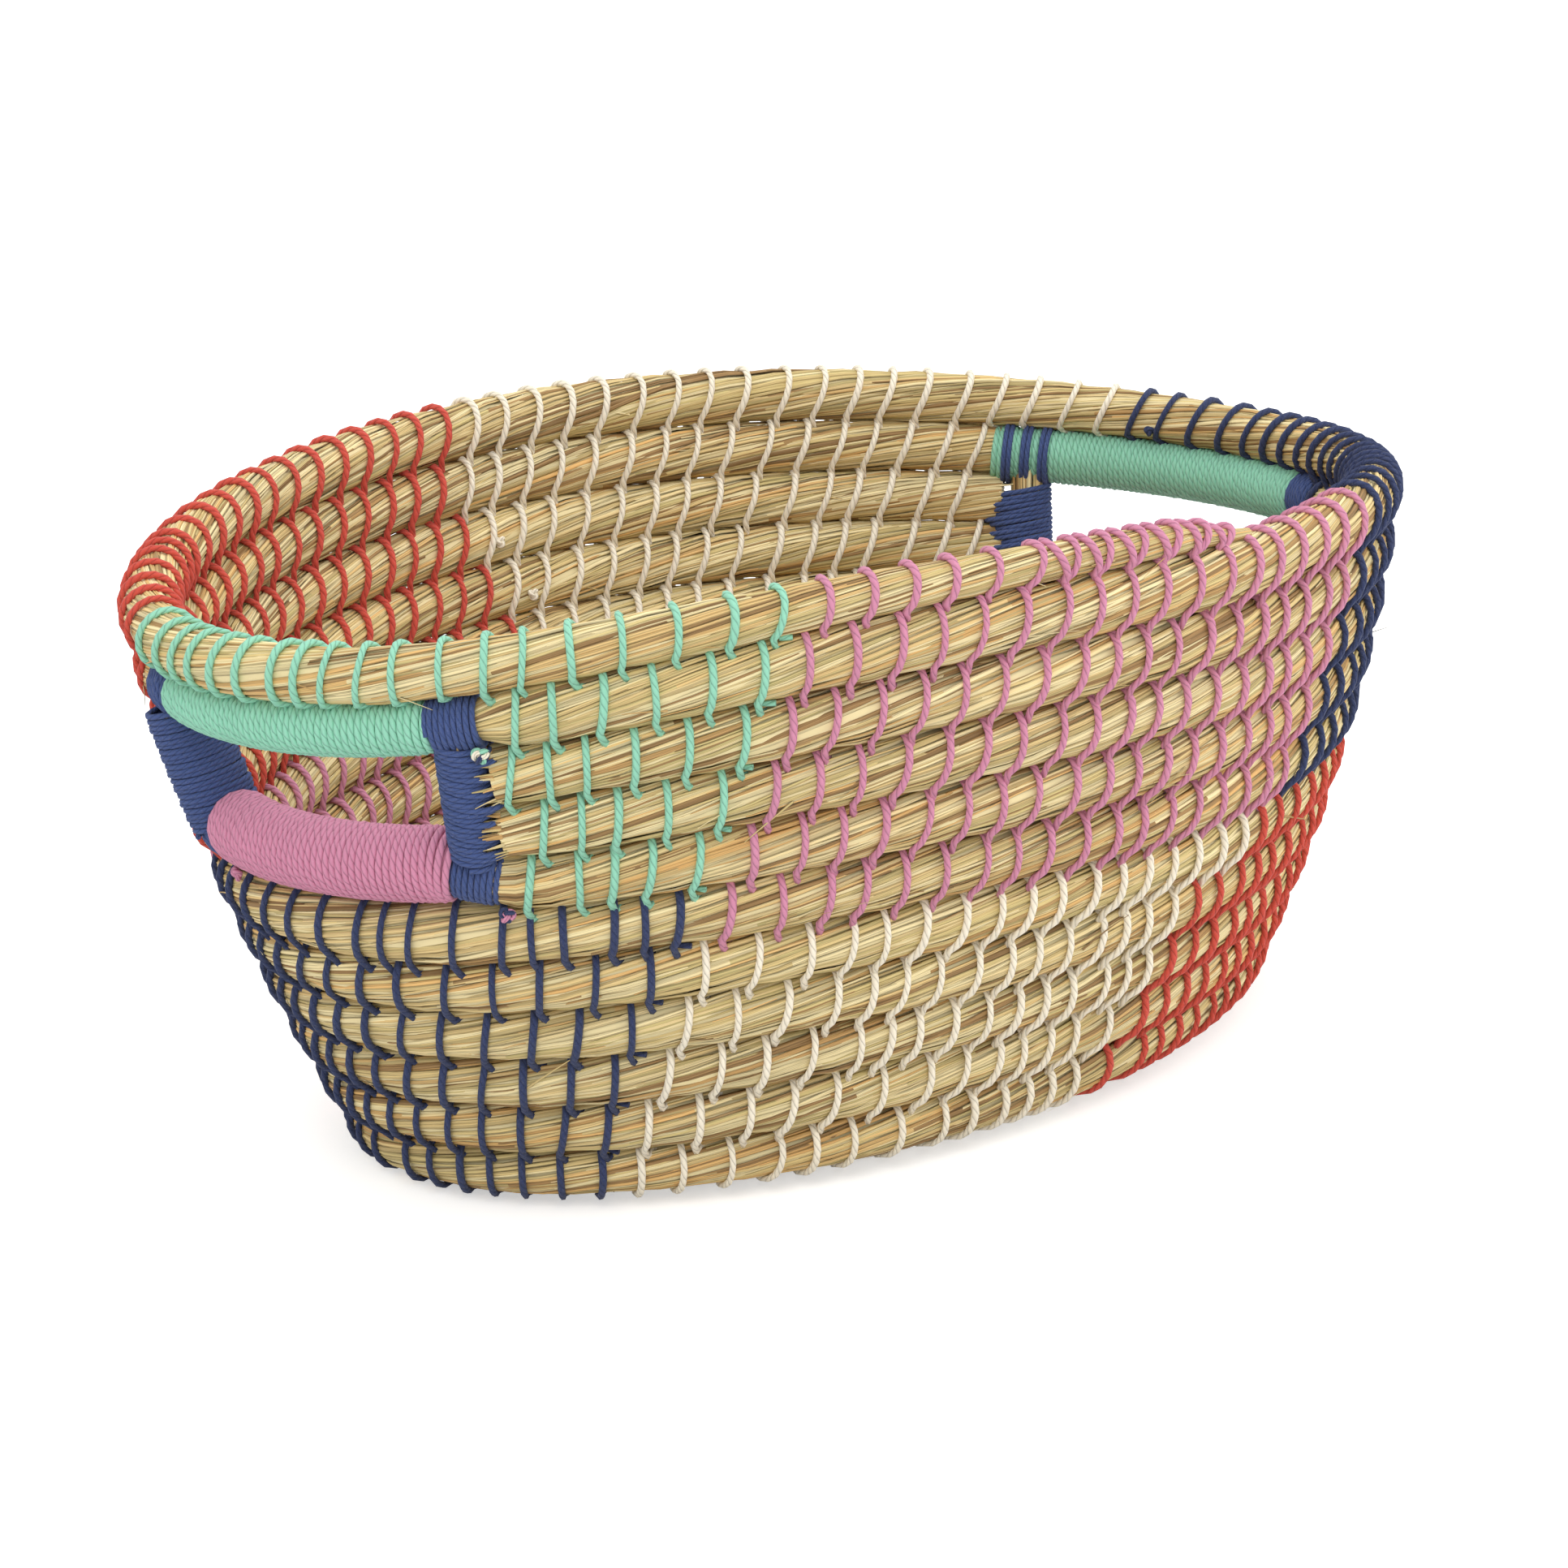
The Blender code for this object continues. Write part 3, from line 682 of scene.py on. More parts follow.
class ShapeTree(Graph):
    """A Geometry Nodes tree with named inputs. It ends in Realize Instances and Set
    Material."""

    KINDS = {
        "length": "NodeSocketFloat",
        "number": "NodeSocketFloat",
        "count": "NodeSocketInt",
        "material": "NodeSocketMaterial",
    }

    def __init__(self, name, inputs):
        tree = bpy.data.node_groups.new(name, "GeometryNodeTree")
        tree.is_modifier = True
        super().__init__(tree)
        face = tree.interface
        face.new_socket("Geometry", in_out="INPUT", socket_type="NodeSocketGeometry")
        for label, kind, default in inputs:
            made = face.new_socket(label, in_out="INPUT", socket_type=self.KINDS[kind])
            if kind == "length":
                made.subtype = "DISTANCE"
            if default is not None:
                made.default_value = default
        face.new_socket("Geometry", in_out="OUTPUT", socket_type="NodeSocketGeometry")
        self.entry = tree.nodes.new("NodeGroupInput")
        self.exit = tree.nodes.new("NodeGroupOutput")

    def given(self, label):
        """One of the tree's named inputs."""
        return Field(self, self.entry.outputs[label])

    def named(self, name, kind="FLOAT"):
        return self.add("GeometryNodeInputNamedAttribute", {"data_type": kind}, {"Name": name})

    def store(self, geometry, name, value, kind="FLOAT"):
        """Keeps a value on every point, under a name."""
        return self.add(
            "GeometryNodeStoreNamedAttribute",
            {"data_type": kind, "domain": "POINT"},
            {"Geometry": geometry, "Name": name, "Value": value},
        )

    def random(self, low, high, identity, seed):
        return self.add(
            "FunctionNodeRandomValue",
            {"data_type": "FLOAT"},
            {"Min": low, "Max": high, "ID": identity, "Seed": seed},
        )

    def position(self):
        return self.add("GeometryNodeInputPosition")

    def moved(self, geometry, place):
        """The geometry with its points at these places."""
        sockets = {"Geometry": geometry, "Position": place}
        return self.add("GeometryNodeSetPosition", None, sockets)

    def facing_curve(self, curve, normal):
        """The curve, turned so that a skin on it faces this way."""
        sockets = {"Curve": curve, "Normal": normal}
        return self.add("GeometryNodeSetCurveNormal", {"mode": "FREE"}, sockets)

    def ring(self, sides, radius):
        """The outline that a skin follows."""
        sockets = {"Resolution": sides, "Radius": radius}
        return self.add("GeometryNodeCurvePrimitiveCircle", None, sockets)

    def unit_ring(self, sides):
        """A ring one across, whose points carry which side of it they are on."""
        return self.store(self.ring(sides, 0.5), "side", self.position() * 2.0, "FLOAT_VECTOR")

    def skin(self, curve, profile, scale, capped=True):
        """A closed skin on a curve."""
        sockets = {"Curve": curve, "Profile Curve": profile, "Scale": scale, "Fill Caps": capped}
        return self.add("GeometryNodeCurveToMesh", None, sockets)

    def copied_to(self, spots, instance):
        """A copy at every point. It keeps the point's numbers, and its place as middle."""
        spots = self.store(spots, "middle", self.position(), "FLOAT_VECTOR")
        sockets = {"Points": spots, "Instance": instance}
        copies = self.add("GeometryNodeInstanceOnPoints", None, sockets)
        return self.add("GeometryNodeRealizeInstances", None, {"Geometry": copies})

    def blade(self, line, facing, width, flatness):
        """A three-sided blade on a line, flat towards where it faces."""
        sockets = {"Geometry": self.unit_ring(BLADE_SIDES), "Scale": (flatness, 1.0, 1.0)}
        profile = self.add("GeometryNodeTransform", None, sockets)
        return self.skin(self.facing_curve(line, facing), profile, width)

    def end(self, geometry):
        """Closes the tree: everything is real mesh, smooth and has its material."""
        plain = self.add("GeometryNodeRealizeInstances", None, {"Geometry": geometry})
        soft = self.add("GeometryNodeSetShadeSmooth", None, {"Geometry": plain})
        sockets = {"Geometry": soft, "Material": self.given("Material")}
        done = self.add("GeometryNodeSetMaterial", None, sockets)
        self.tree.links.new(done.socket, self.exit.inputs["Geometry"])
        return self.tree

    def round_cord(self, line, thickness, sides, capped):
        """A round skin on a line. run is the length along it, and side the way round it."""
        run = self.add("GeometryNodeSplineParameter", output="Length")
        line = self.store(line, "run", run)
        return self.skin(line, self.unit_ring(sides), thickness, capped)


def path_mesh(name, points, **fields):
    """A line of points as a mesh, which carries numbers and vectors for each point."""
    mesh = bpy.data.meshes.new(name)
    count = len(points)
    edges = [(index, index + 1) for index in range(count - 1)]
    mesh.from_pydata([tuple(point) for point in points], edges, [])
    set_fields(mesh, fields)
    return mesh


def lines_mesh(name, lines):
    """Several lines of points as one mesh."""
    mesh = bpy.data.meshes.new(name)
    edges, first = [], 0
    for line in lines:
        edges += [(first + step, first + step + 1) for step in range(len(line) - 1)]
        first += len(line)
    mesh.from_pydata([tuple(point) for line in lines for point in line], edges, [])
    return mesh


def spot_mesh(name, points, **fields):
    """Loose points that carry numbers and vectors."""
    mesh = bpy.data.meshes.new(name)
    mesh.from_pydata([tuple(point) for point in points], [], [])
    set_fields(mesh, fields)
    return mesh


def set_fields(mesh, fields):
    """Stores numbers and vectors on the points of a mesh."""
    for label, values in fields.items():
        values = np.asarray(values, np.float32)
        if values.ndim == 2:
            mesh.attributes.new(label, "FLOAT_VECTOR", "POINT").data.foreach_set(
                "vector", values.ravel()
            )
        else:
            mesh.attributes.new(label, "FLOAT", "POINT").data.foreach_set("value", values)


def grown(name, mesh, tree, **inputs):
    """The plain mesh that a tree makes from a mesh."""
    holder = bpy.data.objects.new(name, mesh)
    bpy.context.scene.collection.objects.link(holder)
    growth = holder.modifiers.new("growth", "NODES")
    growth.node_group = tree
    labels = {label.replace("_", " ").capitalize(): value for label, value in inputs.items()}
    for item in tree.interface.items_tree:
        if item.item_type == "SOCKET" and item.in_out == "INPUT" and item.name in labels:
            growth[item.identifier] = labels.pop(item.name)
    if labels:
        raise RuntimeError(f"{tree.name} has no input for {sorted(labels)}")
    bpy.context.view_layer.update()
    graph = bpy.context.evaluated_depsgraph_get()
    made = bpy.data.meshes.new_from_object(
        holder.evaluated_get(graph), preserve_all_data_layers=True, depsgraph=graph
    )
    holder.modifiers.remove(growth)
    holder.data = made
    made.name = name
    bpy.data.meshes.remove(mesh)
    if not made.polygons:
        raise RuntimeError(f"{name} came out empty")
    stand_on_floor(made)
    return holder


def stand_on_floor(mesh):
    """Presses what would reach under the floor flat against it."""
    places = np.empty(len(mesh.vertices) * 3, np.float32)
    mesh.vertices.foreach_get("co", places)
    places = places.reshape(-1, 3)
    low = places[:, 2] < FLOOR_PRESS
    places[low, 2] = FLOOR_PRESS * np.exp((places[low, 2] - FLOOR_PRESS) / FLOOR_PRESS)
    mesh.vertices.foreach_set("co", places.ravel())
    mesh.update()


def settle(piece, slot, *nodes):
    """The piece is finished: it rides on the basket, and stands for the nodes if any."""
    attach(piece, "root")
    if nodes:
        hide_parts(*nodes)


def find_or_make_material(name, build):
    """The material of that name, built the first time it is asked for."""
    made = bpy.data.materials.get(name)
    if made is None:
        made = bpy.data.materials.new(name)
        made.use_nodes = True
        build(made)
    return made


class Finish(Graph):
    """A material's nodes, with its shader."""

    def __init__(self, material, **constants):
        super().__init__(material.node_tree)
        self.shader = material.node_tree.nodes["Principled BSDF"]
        for name, value in constants.items():
            self.shader.inputs[name.replace("_", " ")].default_value = value

    def feed(self, name, value):
        """Links a value to one of the shader's sockets."""
        self.tree.links.new(value.socket, self.shader.inputs[name])

    def named(self, name, output="Fac"):
        return self.add("ShaderNodeAttribute", {"attribute_name": name}, output=output)

    def mixed(self, share, first, second):
        """Two colours mixed by a share that varies."""
        first, second = self.paint(first), self.paint(second)
        sockets = {"Factor_Float": share, "A_Color": first, "B_Color": second}
        return self.add("ShaderNodeMix", {"data_type": "RGBA"}, sockets)

    def paint(self, colour):
        return colour if isinstance(colour, Field) else (*colour, 1)

    def bump(self, height, strength, distance, normal=None):
        sockets = {"Height": height, "Strength": strength, "Distance": distance}
        if normal:
            sockets["Normal"] = normal
        return self.add("ShaderNodeBump", None, sockets)


def grass_finish():
    """Dried grass: each blade has a colour of its own, with streaks and dark fibres along it."""
    def build(material):
        look = Finish(material, Roughness=GRASS_ROUGHNESS, Specular_IOR_Level=GRASS_SHINE)
        paint = colours()
        strand = look.named("strand")
        run = look.named("run")
        # A blade keeps its colour for a stretch, and then the next blade takes over
        stretch = (run * CHANGES_PER_METRE + strand * 17.0).call("FLOOR")
        place = look.vector(stretch, (strand * 91.0).call("FLOOR"))
        blade = look.add("ShaderNodeTexWhiteNoise", {"noise_dimensions": "2D"}, {"Vector": place})
        stops = [(share, tuple(getattr(paint, name))) for share, name in BLADE_COLOURS]
        base = look.add("ShaderNodeValToRGB", {"stops": stops}, {0: blade})
        side = look.named("side", "Vector")
        across = side.call("DOT_PRODUCT", (3.1, 2.3, 0.0))
        fibres = look.noise(look.vector(run * 8.0, across * 0.5, strand * 40.0), 2.2, 3.0, 0.6)
        streaks = look.noise(look.vector(run * 2.6, across * 0.4, strand * 71.0), 1.6, 1.0, 0.5)
        cloudy = look.noise(look.vector(run * 30.0, strand * 9.0), 1.0, 2.0)
        streak = look.remap(streaks, 0.40, 0.58)
        shade = look.mixed(streak, base * STREAK_DARK, base * STREAK_LIGHT)
        fibre = look.remap(fibres, 0.58, 0.74) * FIBRE_SHARE
        shade = look.mixed(fibre, shade, tuple(paint.grass_dark))
        patch = look.remap(cloudy, 0.55, 0.75) * PALE_PATCH_SHARE
        shade = look.mixed(patch, shade, tuple(paint.grass_pale))
        look.feed("Base Color", shade)
        # Light falls on the blades partly as on the whole round bundle
        skin = look.add("ShaderNodeNewGeometry", output="Normal")
        rounded = skin * (1 - ROUNDED_SHARE) + look.named("facing", "Vector") * ROUNDED_SHARE
        rounded = rounded.call("NORMALIZE")
        look.feed("Normal", look.bump(fibres, GRASS_BUMP, GRASS_BUMP_HEIGHT, rounded))

    return find_or_make_material("dried grass", build)


def cord_finish(name):
    """Twisted cotton cord of one colour, with grooves between its plies that get painted shade,
    and a little fuzz.
    """
    def build(material):
        look = Finish(
            material, Roughness=CORD_ROUGHNESS, Specular_IOR_Level=CORD_SHINE,
            Sheen_Weight=CORD_SHEEN, Sheen_Roughness=CORD_SHEEN_ROUGHNESS,
        )
        paint = Vector(getattr(colours(), name))
        run = look.named("run")
        side = look.add("ShaderNodeSeparateXYZ", None, {"Vector": look.named("side", "Vector")})
        around = look.maths("ARCTAN2", side.other("Y"), side.other("X"))
        place = look.add("ShaderNodeTexCoord", output="Object")
        wander = look.noise(look.vector(run * WANDERS_PER_METRE), 1.0, 1.0) * PLY_WANDER
        ply = (around * PLY_SLANT + run * PLY_TURNS + wander).call("SINE").call("ABSOLUTE")
        fluff = look.noise(place, FUZZ_SCALE, 3.0, 0.7)
        cloud = look.noise(place, CLOUD_SCALE, 2.0)
        # Painted shade: the cord's colour is darkened in the grooves between its plies
        groove_shade = look.remap(ply, 0.0, 0.55, 1.0, 0.0)
        shade = look.mixed(groove_shade * GROOVE_SHADE_SHARE, tuple(paint), tuple(paint * GROOVE_SHADE_DARK))
        fuzz = paint.lerp(Vector((1, 1, 1)), FUZZ_WHITE)
        shade = look.mixed(look.remap(fluff, 0.5, 0.8) * FUZZ_SHARE, shade, tuple(fuzz))
        clouded = look.remap(cloud, 0.35, 0.7) * CLOUD_SHARE
        shade = look.mixed(clouded, shade, tuple(paint * CLOUD_DARK))
        look.feed("Base Color", shade)
        height = ply * PLY_HEIGHT + fluff * FUZZ_HEIGHT
        look.feed("Normal", look.bump(height, CORD_BUMP, CORD_BUMP_HEIGHT))

    return find_or_make_material(f"{name} cord", build)


def built_once(label):
    """For a function that builds a tree: the tree is built the first time it is asked for."""
    def wrapped(build):
        return lambda: bpy.data.node_groups.get(label) or build(label)

    return wrapped


@built_once("grass bundle")
def bundle_tree(label):
    """Grass blades that twist round a line."""
    shape = ShapeTree(label, [
        ("Strands", "count", 74),
        ("Blade width", "length", 0.0023),
        ("Twist length", "length", 0.3),
        ("Wander", "number", 0.16),
        ("Seed", "count", 3),
        ("Material", "material", None),
    ])
    line = shape.add("GeometryNodeMeshToCurve", None, {"Mesh": shape.given("Geometry")})
    many = shape.add("GeometryNodeDuplicateElements", {"domain": "SPLINE"},
                     {"Geometry": line, "Amount": shape.given("Strands")})
    strand = many.other("Duplicate Index")
    seed = shape.given("Seed")
    run = shape.named("way")
    pick = shape.random(0.0, 1.0, strand, seed)
    many = shape.store(many, "strand", pick)
    drift = shape.noise(shape.vector(run * DRIFTS_PER_METRE, strand * 3.7), 1.0, 1.0) - 0.5
    jitter = shape.random(-BLADE_JITTER, BLADE_JITTER, strand, seed + 1)
    share = (strand + jitter) / shape.given("Strands")
    twist = run / shape.given("Twist length") + drift * shape.given("Wander")
    angle = (share + twist) * (2 * math.pi)
    lump = shape.noise(shape.vector(run * LUMPS_PER_METRE, strand * 5.3), 1.0, 1.0)
    depth = shape.random(*BLADE_DEPTHS, strand, seed + 2) + (lump - 0.5) * LUMP_DEPTH
    depth = depth - shape.named("pinch") * BLADE_PINCH
    wide, high = shape.named("wide"), shape.named("high")
    out, up = shape.named("out", "FLOAT_VECTOR"), shape.named("up", "FLOAT_VECTOR")
    cosine, sine = angle.call("COSINE"), angle.call("SINE")
    across = out * (cosine * wide * depth) + up * (sine * high * depth)
    many = shape.moved(many, shape.position() + across)
    facing = out * cosine + up * sine
    many = shape.store(many, "facing", facing, "FLOAT_VECTOR")
    thinnest, thickest = LUMP_WIDTHS
    lumpy = thinnest + lump * (thickest - thinnest)
    width = shape.random(*BLADE_WIDTHS, strand, seed + 3) * lumpy
    width = width * shape.given("Blade width") * shape.named("fullness")
    skin = shape.blade(many, facing, width, BLADE_FLATNESS)
    skin = shape.store(skin, "run", shape.named("way"))
    return shape.end(skin)


@built_once("bundle core")
def core_tree(label):
    """The plain inside of a bundle under its blades, or of a winding under its cord."""
    shape = ShapeTree(label, [("Sides", "count", 12), ("Material", "material", None)])
    line = shape.add("GeometryNodeMeshToCurve", None, {"Mesh": shape.given("Geometry")})
    line = shape.facing_curve(line, shape.named("up", "FLOAT_VECTOR"))
    size = shape.named("wide").call("MINIMUM", shape.named("high"))
    size = size - shape.named("pinch") * CORE_PINCH
    ring = shape.ring(shape.given("Sides"), CORE_SHARE)
    return shape.end(shape.skin(line, ring, size))


@built_once("stitches")
def stitch_tree(label):
    """One loop of cord round the bundle and through the row below, at every point."""
    shape = ShapeTree(label, [
        ("Cord", "length", 0.0029),
        ("Lean", "length", 0.0024),
        ("Bow", "length", 0.0005),
        ("Climb", "length", 0.0082),
        ("Seed", "count", 5),
        ("Material", "material", None),
    ])
    seed = shape.given("Seed")
    loop = shape.ring(STITCH_POINTS, 1.0)
    loop = shape.store(loop, "bearing", shape.position(), "FLOAT_VECTOR")
    index = shape.add("GeometryNodeInputIndex")
    spots = shape.given("Geometry")
    spots = shape.store(spots, "lean pick", shape.random(*STITCH_LEANS, index, seed))
    size = shape.random(*STITCH_THICKNESSES, index, seed + 1)
    spots = shape.store(spots, "size pick", size)
    loops = shape.copied_to(spots, loop)
    bearing = shape.add("ShaderNodeSeparateXYZ", None,
                        {"Vector": shape.named("bearing", "FLOAT_VECTOR")})
    cosine, sine = bearing.other("X"), bearing.other("Y")
    # The loop starts at its hidden bottom, then runs out, over the top and in
    across, height = sine, -cosine
    deep = shape.remap(height, STITCH_DEEP_FROM, STITCH_DEEP_TO)
    cord = shape.given("Cord")
    wide = shape.named("wide") + cord * CORD_OFF_SHARE
    high = shape.named("high") + cord * CORD_OFF_SHARE
    across_size = across * (1 + deep * shape.named("spread")) * wide
    height_size = height * (1 + deep * shape.named("reach")) * high
    # Outside, the cord leans as it goes down and sweeps back at its foot. Inside it leans
    # the other way, so that it meets the loop below.
    lean, bow, pick = shape.given("Lean"), shape.given("Bow"), shape.named("lean pick")
    square = height * height
    foot = shape.remap(height, STITCH_FOOT_FROM, STITCH_FOOT_TO)
    foot = foot * shape.named("sweep") * FOOT_SWEEP
    outer = (lean * pick + shape.named("tilt")) * height + bow * (1 - square) - foot
    inner_lean = shape.given("Climb") * 0.5 - shape.named("tilt")
    inner = INNER_LEAD - height * inner_lean + square * INNER_BOW
    outside = shape.remap(across, -0.9, 0.9)
    shift = outer * outside + inner * (1 - outside)
    place = shape.named("middle", "FLOAT_VECTOR")
    place = place + shape.named("out", "FLOAT_VECTOR") * across_size
    place = place + shape.named("up", "FLOAT_VECTOR") * height_size
    place = place + shape.named("ahead", "FLOAT_VECTOR") * shift
    loops = shape.moved(loops, place)
    skin = shape.round_cord(loops, cord * shape.named("size pick"), STITCH_SIDES, False)
    return shape.end(skin)


@built_once("winding")
def winding_tree(label):
    """A cord wound round a bar."""
    shape = ShapeTree(label, [
        ("Cord", "length", 0.0027),
        ("Loops", "number", 20.0),
        ("Points per loop", "count", 16),
        ("Start", "number", 0.0),
        ("Seed", "count", 5),
        ("Material", "material", None),
    ])
    line = shape.add("GeometryNodeMeshToCurve", None, {"Mesh": shape.given("Geometry")})
    count = shape.given("Loops") * shape.given("Points per loop") + 1
    sockets = {"Curve": line, "Count": count}
    line = shape.add("GeometryNodeResampleCurve", {"mode": "COUNT"}, sockets)
    share = shape.add("GeometryNodeSplineParameter", output="Factor")
    place = shape.vector(share * shape.given("Loops") * 0.9, shape.given("Seed"))
    loose = shape.noise(place, 1.0, 2.0)
    loops = share * shape.given("Loops") + shape.given("Start") + (loose - 0.5) * WINDING_WANDER
    angle = loops * (2 * math.pi)
    high, wide = shape.named("high"), shape.named("wide")
    lift = (loose - 0.5) * WINDING_LIFT
    place = shape.position()
    place = place + shape.named("out", "FLOAT_VECTOR") * (angle.call("COSINE") * (wide + lift))
    place = place + shape.named("up", "FLOAT_VECTOR") * (angle.call("SINE") * (high + lift))
    line = shape.moved(line, place)
    skin = shape.round_cord(line, shape.given("Cord"), WINDING_SIDES, True)
    return shape.end(skin)


@built_once("loose straws")
def straw_tree(label):
    """Loose straws: a thin bent blade at every point."""
    shape = ShapeTree(label, [
        ("Blade width", "length", 0.0010),
        ("Seed", "count", 7),
        ("Material", "material", None),
    ])
    line = shape.add("GeometryNodeCurvePrimitiveLine", None, {"End": (0.0, 0.0, 1.0)})
    sockets = {"Curve": line, "Count": STRAW_POINTS}
    line = shape.add("GeometryNodeResampleCurve", {"mode": "COUNT"}, sockets)
    line = shape.store(line, "share", shape.add("GeometryNodeSplineParameter", output="Factor"))
    index = shape.add("GeometryNodeInputIndex")
    pick = shape.random(0.0, 1.0, index, shape.given("Seed"))
    lines = shape.copied_to(shape.store(shape.given("Geometry"), "strand", pick), line)
    share = shape.named("share")
    facing = shape.named("facing", "FLOAT_VECTOR")
    place = shape.named("middle", "FLOAT_VECTOR") + shape.named("reach", "FLOAT_VECTOR") * share
    place = place + facing * (share * share * shape.named("curl"))
    girth = shape.given("Blade width") * shape.named("girth") * (1 - share * STRAW_TAPER)
    skin = shape.blade(shape.moved(lines, place), facing, girth, STRAW_FLATNESS)
    skin = shape.store(skin, "run", share * 0.01 + shape.named("strand"))
    return shape.end(skin)


@built_once("loose cord")
def cord_tree(label):
    """A cord along a line."""
    shape = ShapeTree(label, [("Cord", "length", 0.0024), ("Material", "material", None)])
    line = shape.add("GeometryNodeMeshToCurve", None, {"Mesh": shape.given("Geometry")})
    return shape.end(shape.round_cord(line, shape.given("Cord"), STITCH_SIDES, True))


def grass_stretches(coil):
    """The stretches of the coil that the two hand holes leave, for each node of the frame."""
    low, high = SILL_ROW - 1, LINTEL_ROW + 1
    foot, tier, rim = coil.foot + HALF_STEP, HALF_STEP - SILL_ROW, HALF_STEP
    half_down = (foot + tier) / 2
    low_right, low_left, high_right, high_left = (
        coil.past_posts(row, side, ROW_END_GAP) for row in (low, high) for side in GRIP_ANGLES
    )
    return (
        ("floor_grass", "base_coil", coil.start, foot),
        ("low_wall_grass", "lower_wall_coil", foot, half_down),
        ("middle_wall_grass", "lower_wall_coil", half_down, tier),
        ("sill_grass", "sill_coil", tier, low_right[0]),
        ("back_grass_lower", "back_wall_coil_lower", low_right[1], low_left[0]),
        ("back_grass_upper", "back_wall_coil_upper", high_right[1], high_left[0]),
        ("front_grass", "front_wall_coil", low_left[1], high_right[0]),
        ("lintel_grass", "lintel_coil", high_left[1], rim),
        ("rim_grass", "rim_coil", rim, 1.0),
    )


def stitch_turns(coil):
    """Where every stitch of the spiral is. Each is set against the one a turn below it and
    eased towards an even spacing, with some put in where they spread too far and one left out
    where they crowd."""
    gap, lag = coil.given.stitch_gap, coil.given.stitch_climb
    rng = np.random.default_rng(STITCH_SEED)
    first = coil.run_of(coil.start) + FIRST_STITCH
    runs = list(np.arange(first, coil.run_of(coil.start + 1) + gap / 2, gap))
    index = 0
    last = coil.run_of(1.0) - LAST_STITCH
    while runs[-1] < last and index < len(runs):
        lower = coil.turn_after(runs[index])
        index += 1
        wanted = coil.run_of(lower + 1) - lag + rng.normal(0, HAND_WANDER)
        ends = abs(math.cos(coil.angle_of(lower)))
        nominal = gap * (1 - END_CLOSENESS * ends**3)
        step = wanted - runs[-1]
        if step < CROWDED_SHARE * nominal:
            continue
        count = max(int(step / nominal + EXTRA_STITCH_SHARE), 1)
        runs += [runs[-1] + step * part / count for part in range(1, count)]
        runs.append(wanted + EVENING_SHARE * (nominal - step / count))
    return coil.turn_after(np.array([run for run in runs if run < last]))


# Where one colour gives way to the next, in degrees at row 0, and what a row down adds
UPPER_BLOCKS = (
    ("mint", 166.5, -0.8),
    ("pink", 242.0, -1.95),
    ("navy", 305.0, -2.3),
    ("cream", 379.0, -1.3),
    ("coral", 456.0, -0.7),
)
LOWER_BLOCKS = (
    ("pink", 88.0, -2.0),
    ("navy", 158.0, -2.0),
    ("cream", 231.5, -2.4),
    ("coral", 291.5, -3.1),
    ("mint", 368.0, -2.0),
)
TIER_TURN = -4.149
LOWER_TIER_ROW = 5


def cord_at(coil, turn):
    """The colour of the stitch at a turn."""
    row = -math.floor(turn)
    if turn > TIER_TURN:
        blocks, down = UPPER_BLOCKS, row
    else:
        blocks, down = LOWER_BLOCKS, row - LOWER_TIER_ROW
    if turn < coil.foot:
        return "cream"
    degrees = coil.degrees_at(turn)
    starts = [(start + step * down) % 360 for _, start, step in blocks]
    behind = [(degrees - start) % 360 for start in starts]
    return blocks[behind.index(min(behind))][0]


def pinch_at(coil, turns, stitches):
    """How near each place is to a stitch that draws the grass in: 1 at it."""
    runs = coil.run_of(turns)
    spots = coil.run_of(stitches)
    nearest = np.searchsorted(spots, runs)
    before = np.abs(runs - spots[np.clip(nearest - 1, 0, len(spots) - 1)])
    after = np.abs(runs - spots[np.clip(nearest, 0, len(spots) - 1)])
    return np.exp(-((np.minimum(before, after) / PINCH_REACH) ** 2))


def under_wraps(coil, turns, wide, high):
    """Draws the bundle in where a grip's cord hides it."""
    given = coil.given
    for row, thickness in ((LINTEL_ROW, given.grip_wrap), (SILL_ROW, given.sill_wrap)):
        for side in GRIP_ANGLES:
            start, end = coil.past_posts(row, side)
            inner = thickness / 2 - UNDER_WRAP
            ramp = coil.along(start, UNDER_WRAP_RAMP) - start
            inside = np.clip(np.minimum(turns - start, end - turns) / ramp, 0, 1)
            wide = wide + (np.minimum(wide, inner) - wide) * inside
            high = high + (np.minimum(high, inner) - high) * inside
    return wide, high


def add_grass(coil, name, node, start, end):
    """The blades and the inside of one stretch of the coil."""
    given = coil.given
    turns = coil.spaced(start, end, given.grass_step)
    middle, wide, high, _, out, up = coil.frames(turns)
    wide, high = under_wraps(coil, turns, wide, high)
    fields = dict(
        out=out, up=up, wide=wide, high=high, way=coil.run_of(turns),
        pinch=pinch_at(coil, turns, stitch_turns(coil)),
        fullness=np.clip(high / coil.radius, THINNEST_BLADE_SHARE, 1),
    )
    finish = grass_finish()
    blades = grown(
        name, path_mesh(name, middle, **fields), bundle_tree(), strands=given.strands,
        blade_width=given.blade, twist_length=given.twist, material=finish,
    )
    core = path_mesh(name, middle, **fields)
    core = grown(f"{name}_core", core, core_tree(), material=finish)
    for piece in (blades, core):
        settle(piece, "grass", node)


class BASKET_OT_grass(bpy.types.Operator):
    """Lay the twisted grass bundle, from the middle of the floor to the tail on the rim"""

    bl_idname = "basket.grass"
    bl_label = "Grass coil"

    def execute(self, context):
        coil = Coil(sizes())
        for name, node, start, end in grass_stretches(coil):
            add_grass(coil, name, node, start, end)
        return {"FINISHED"}


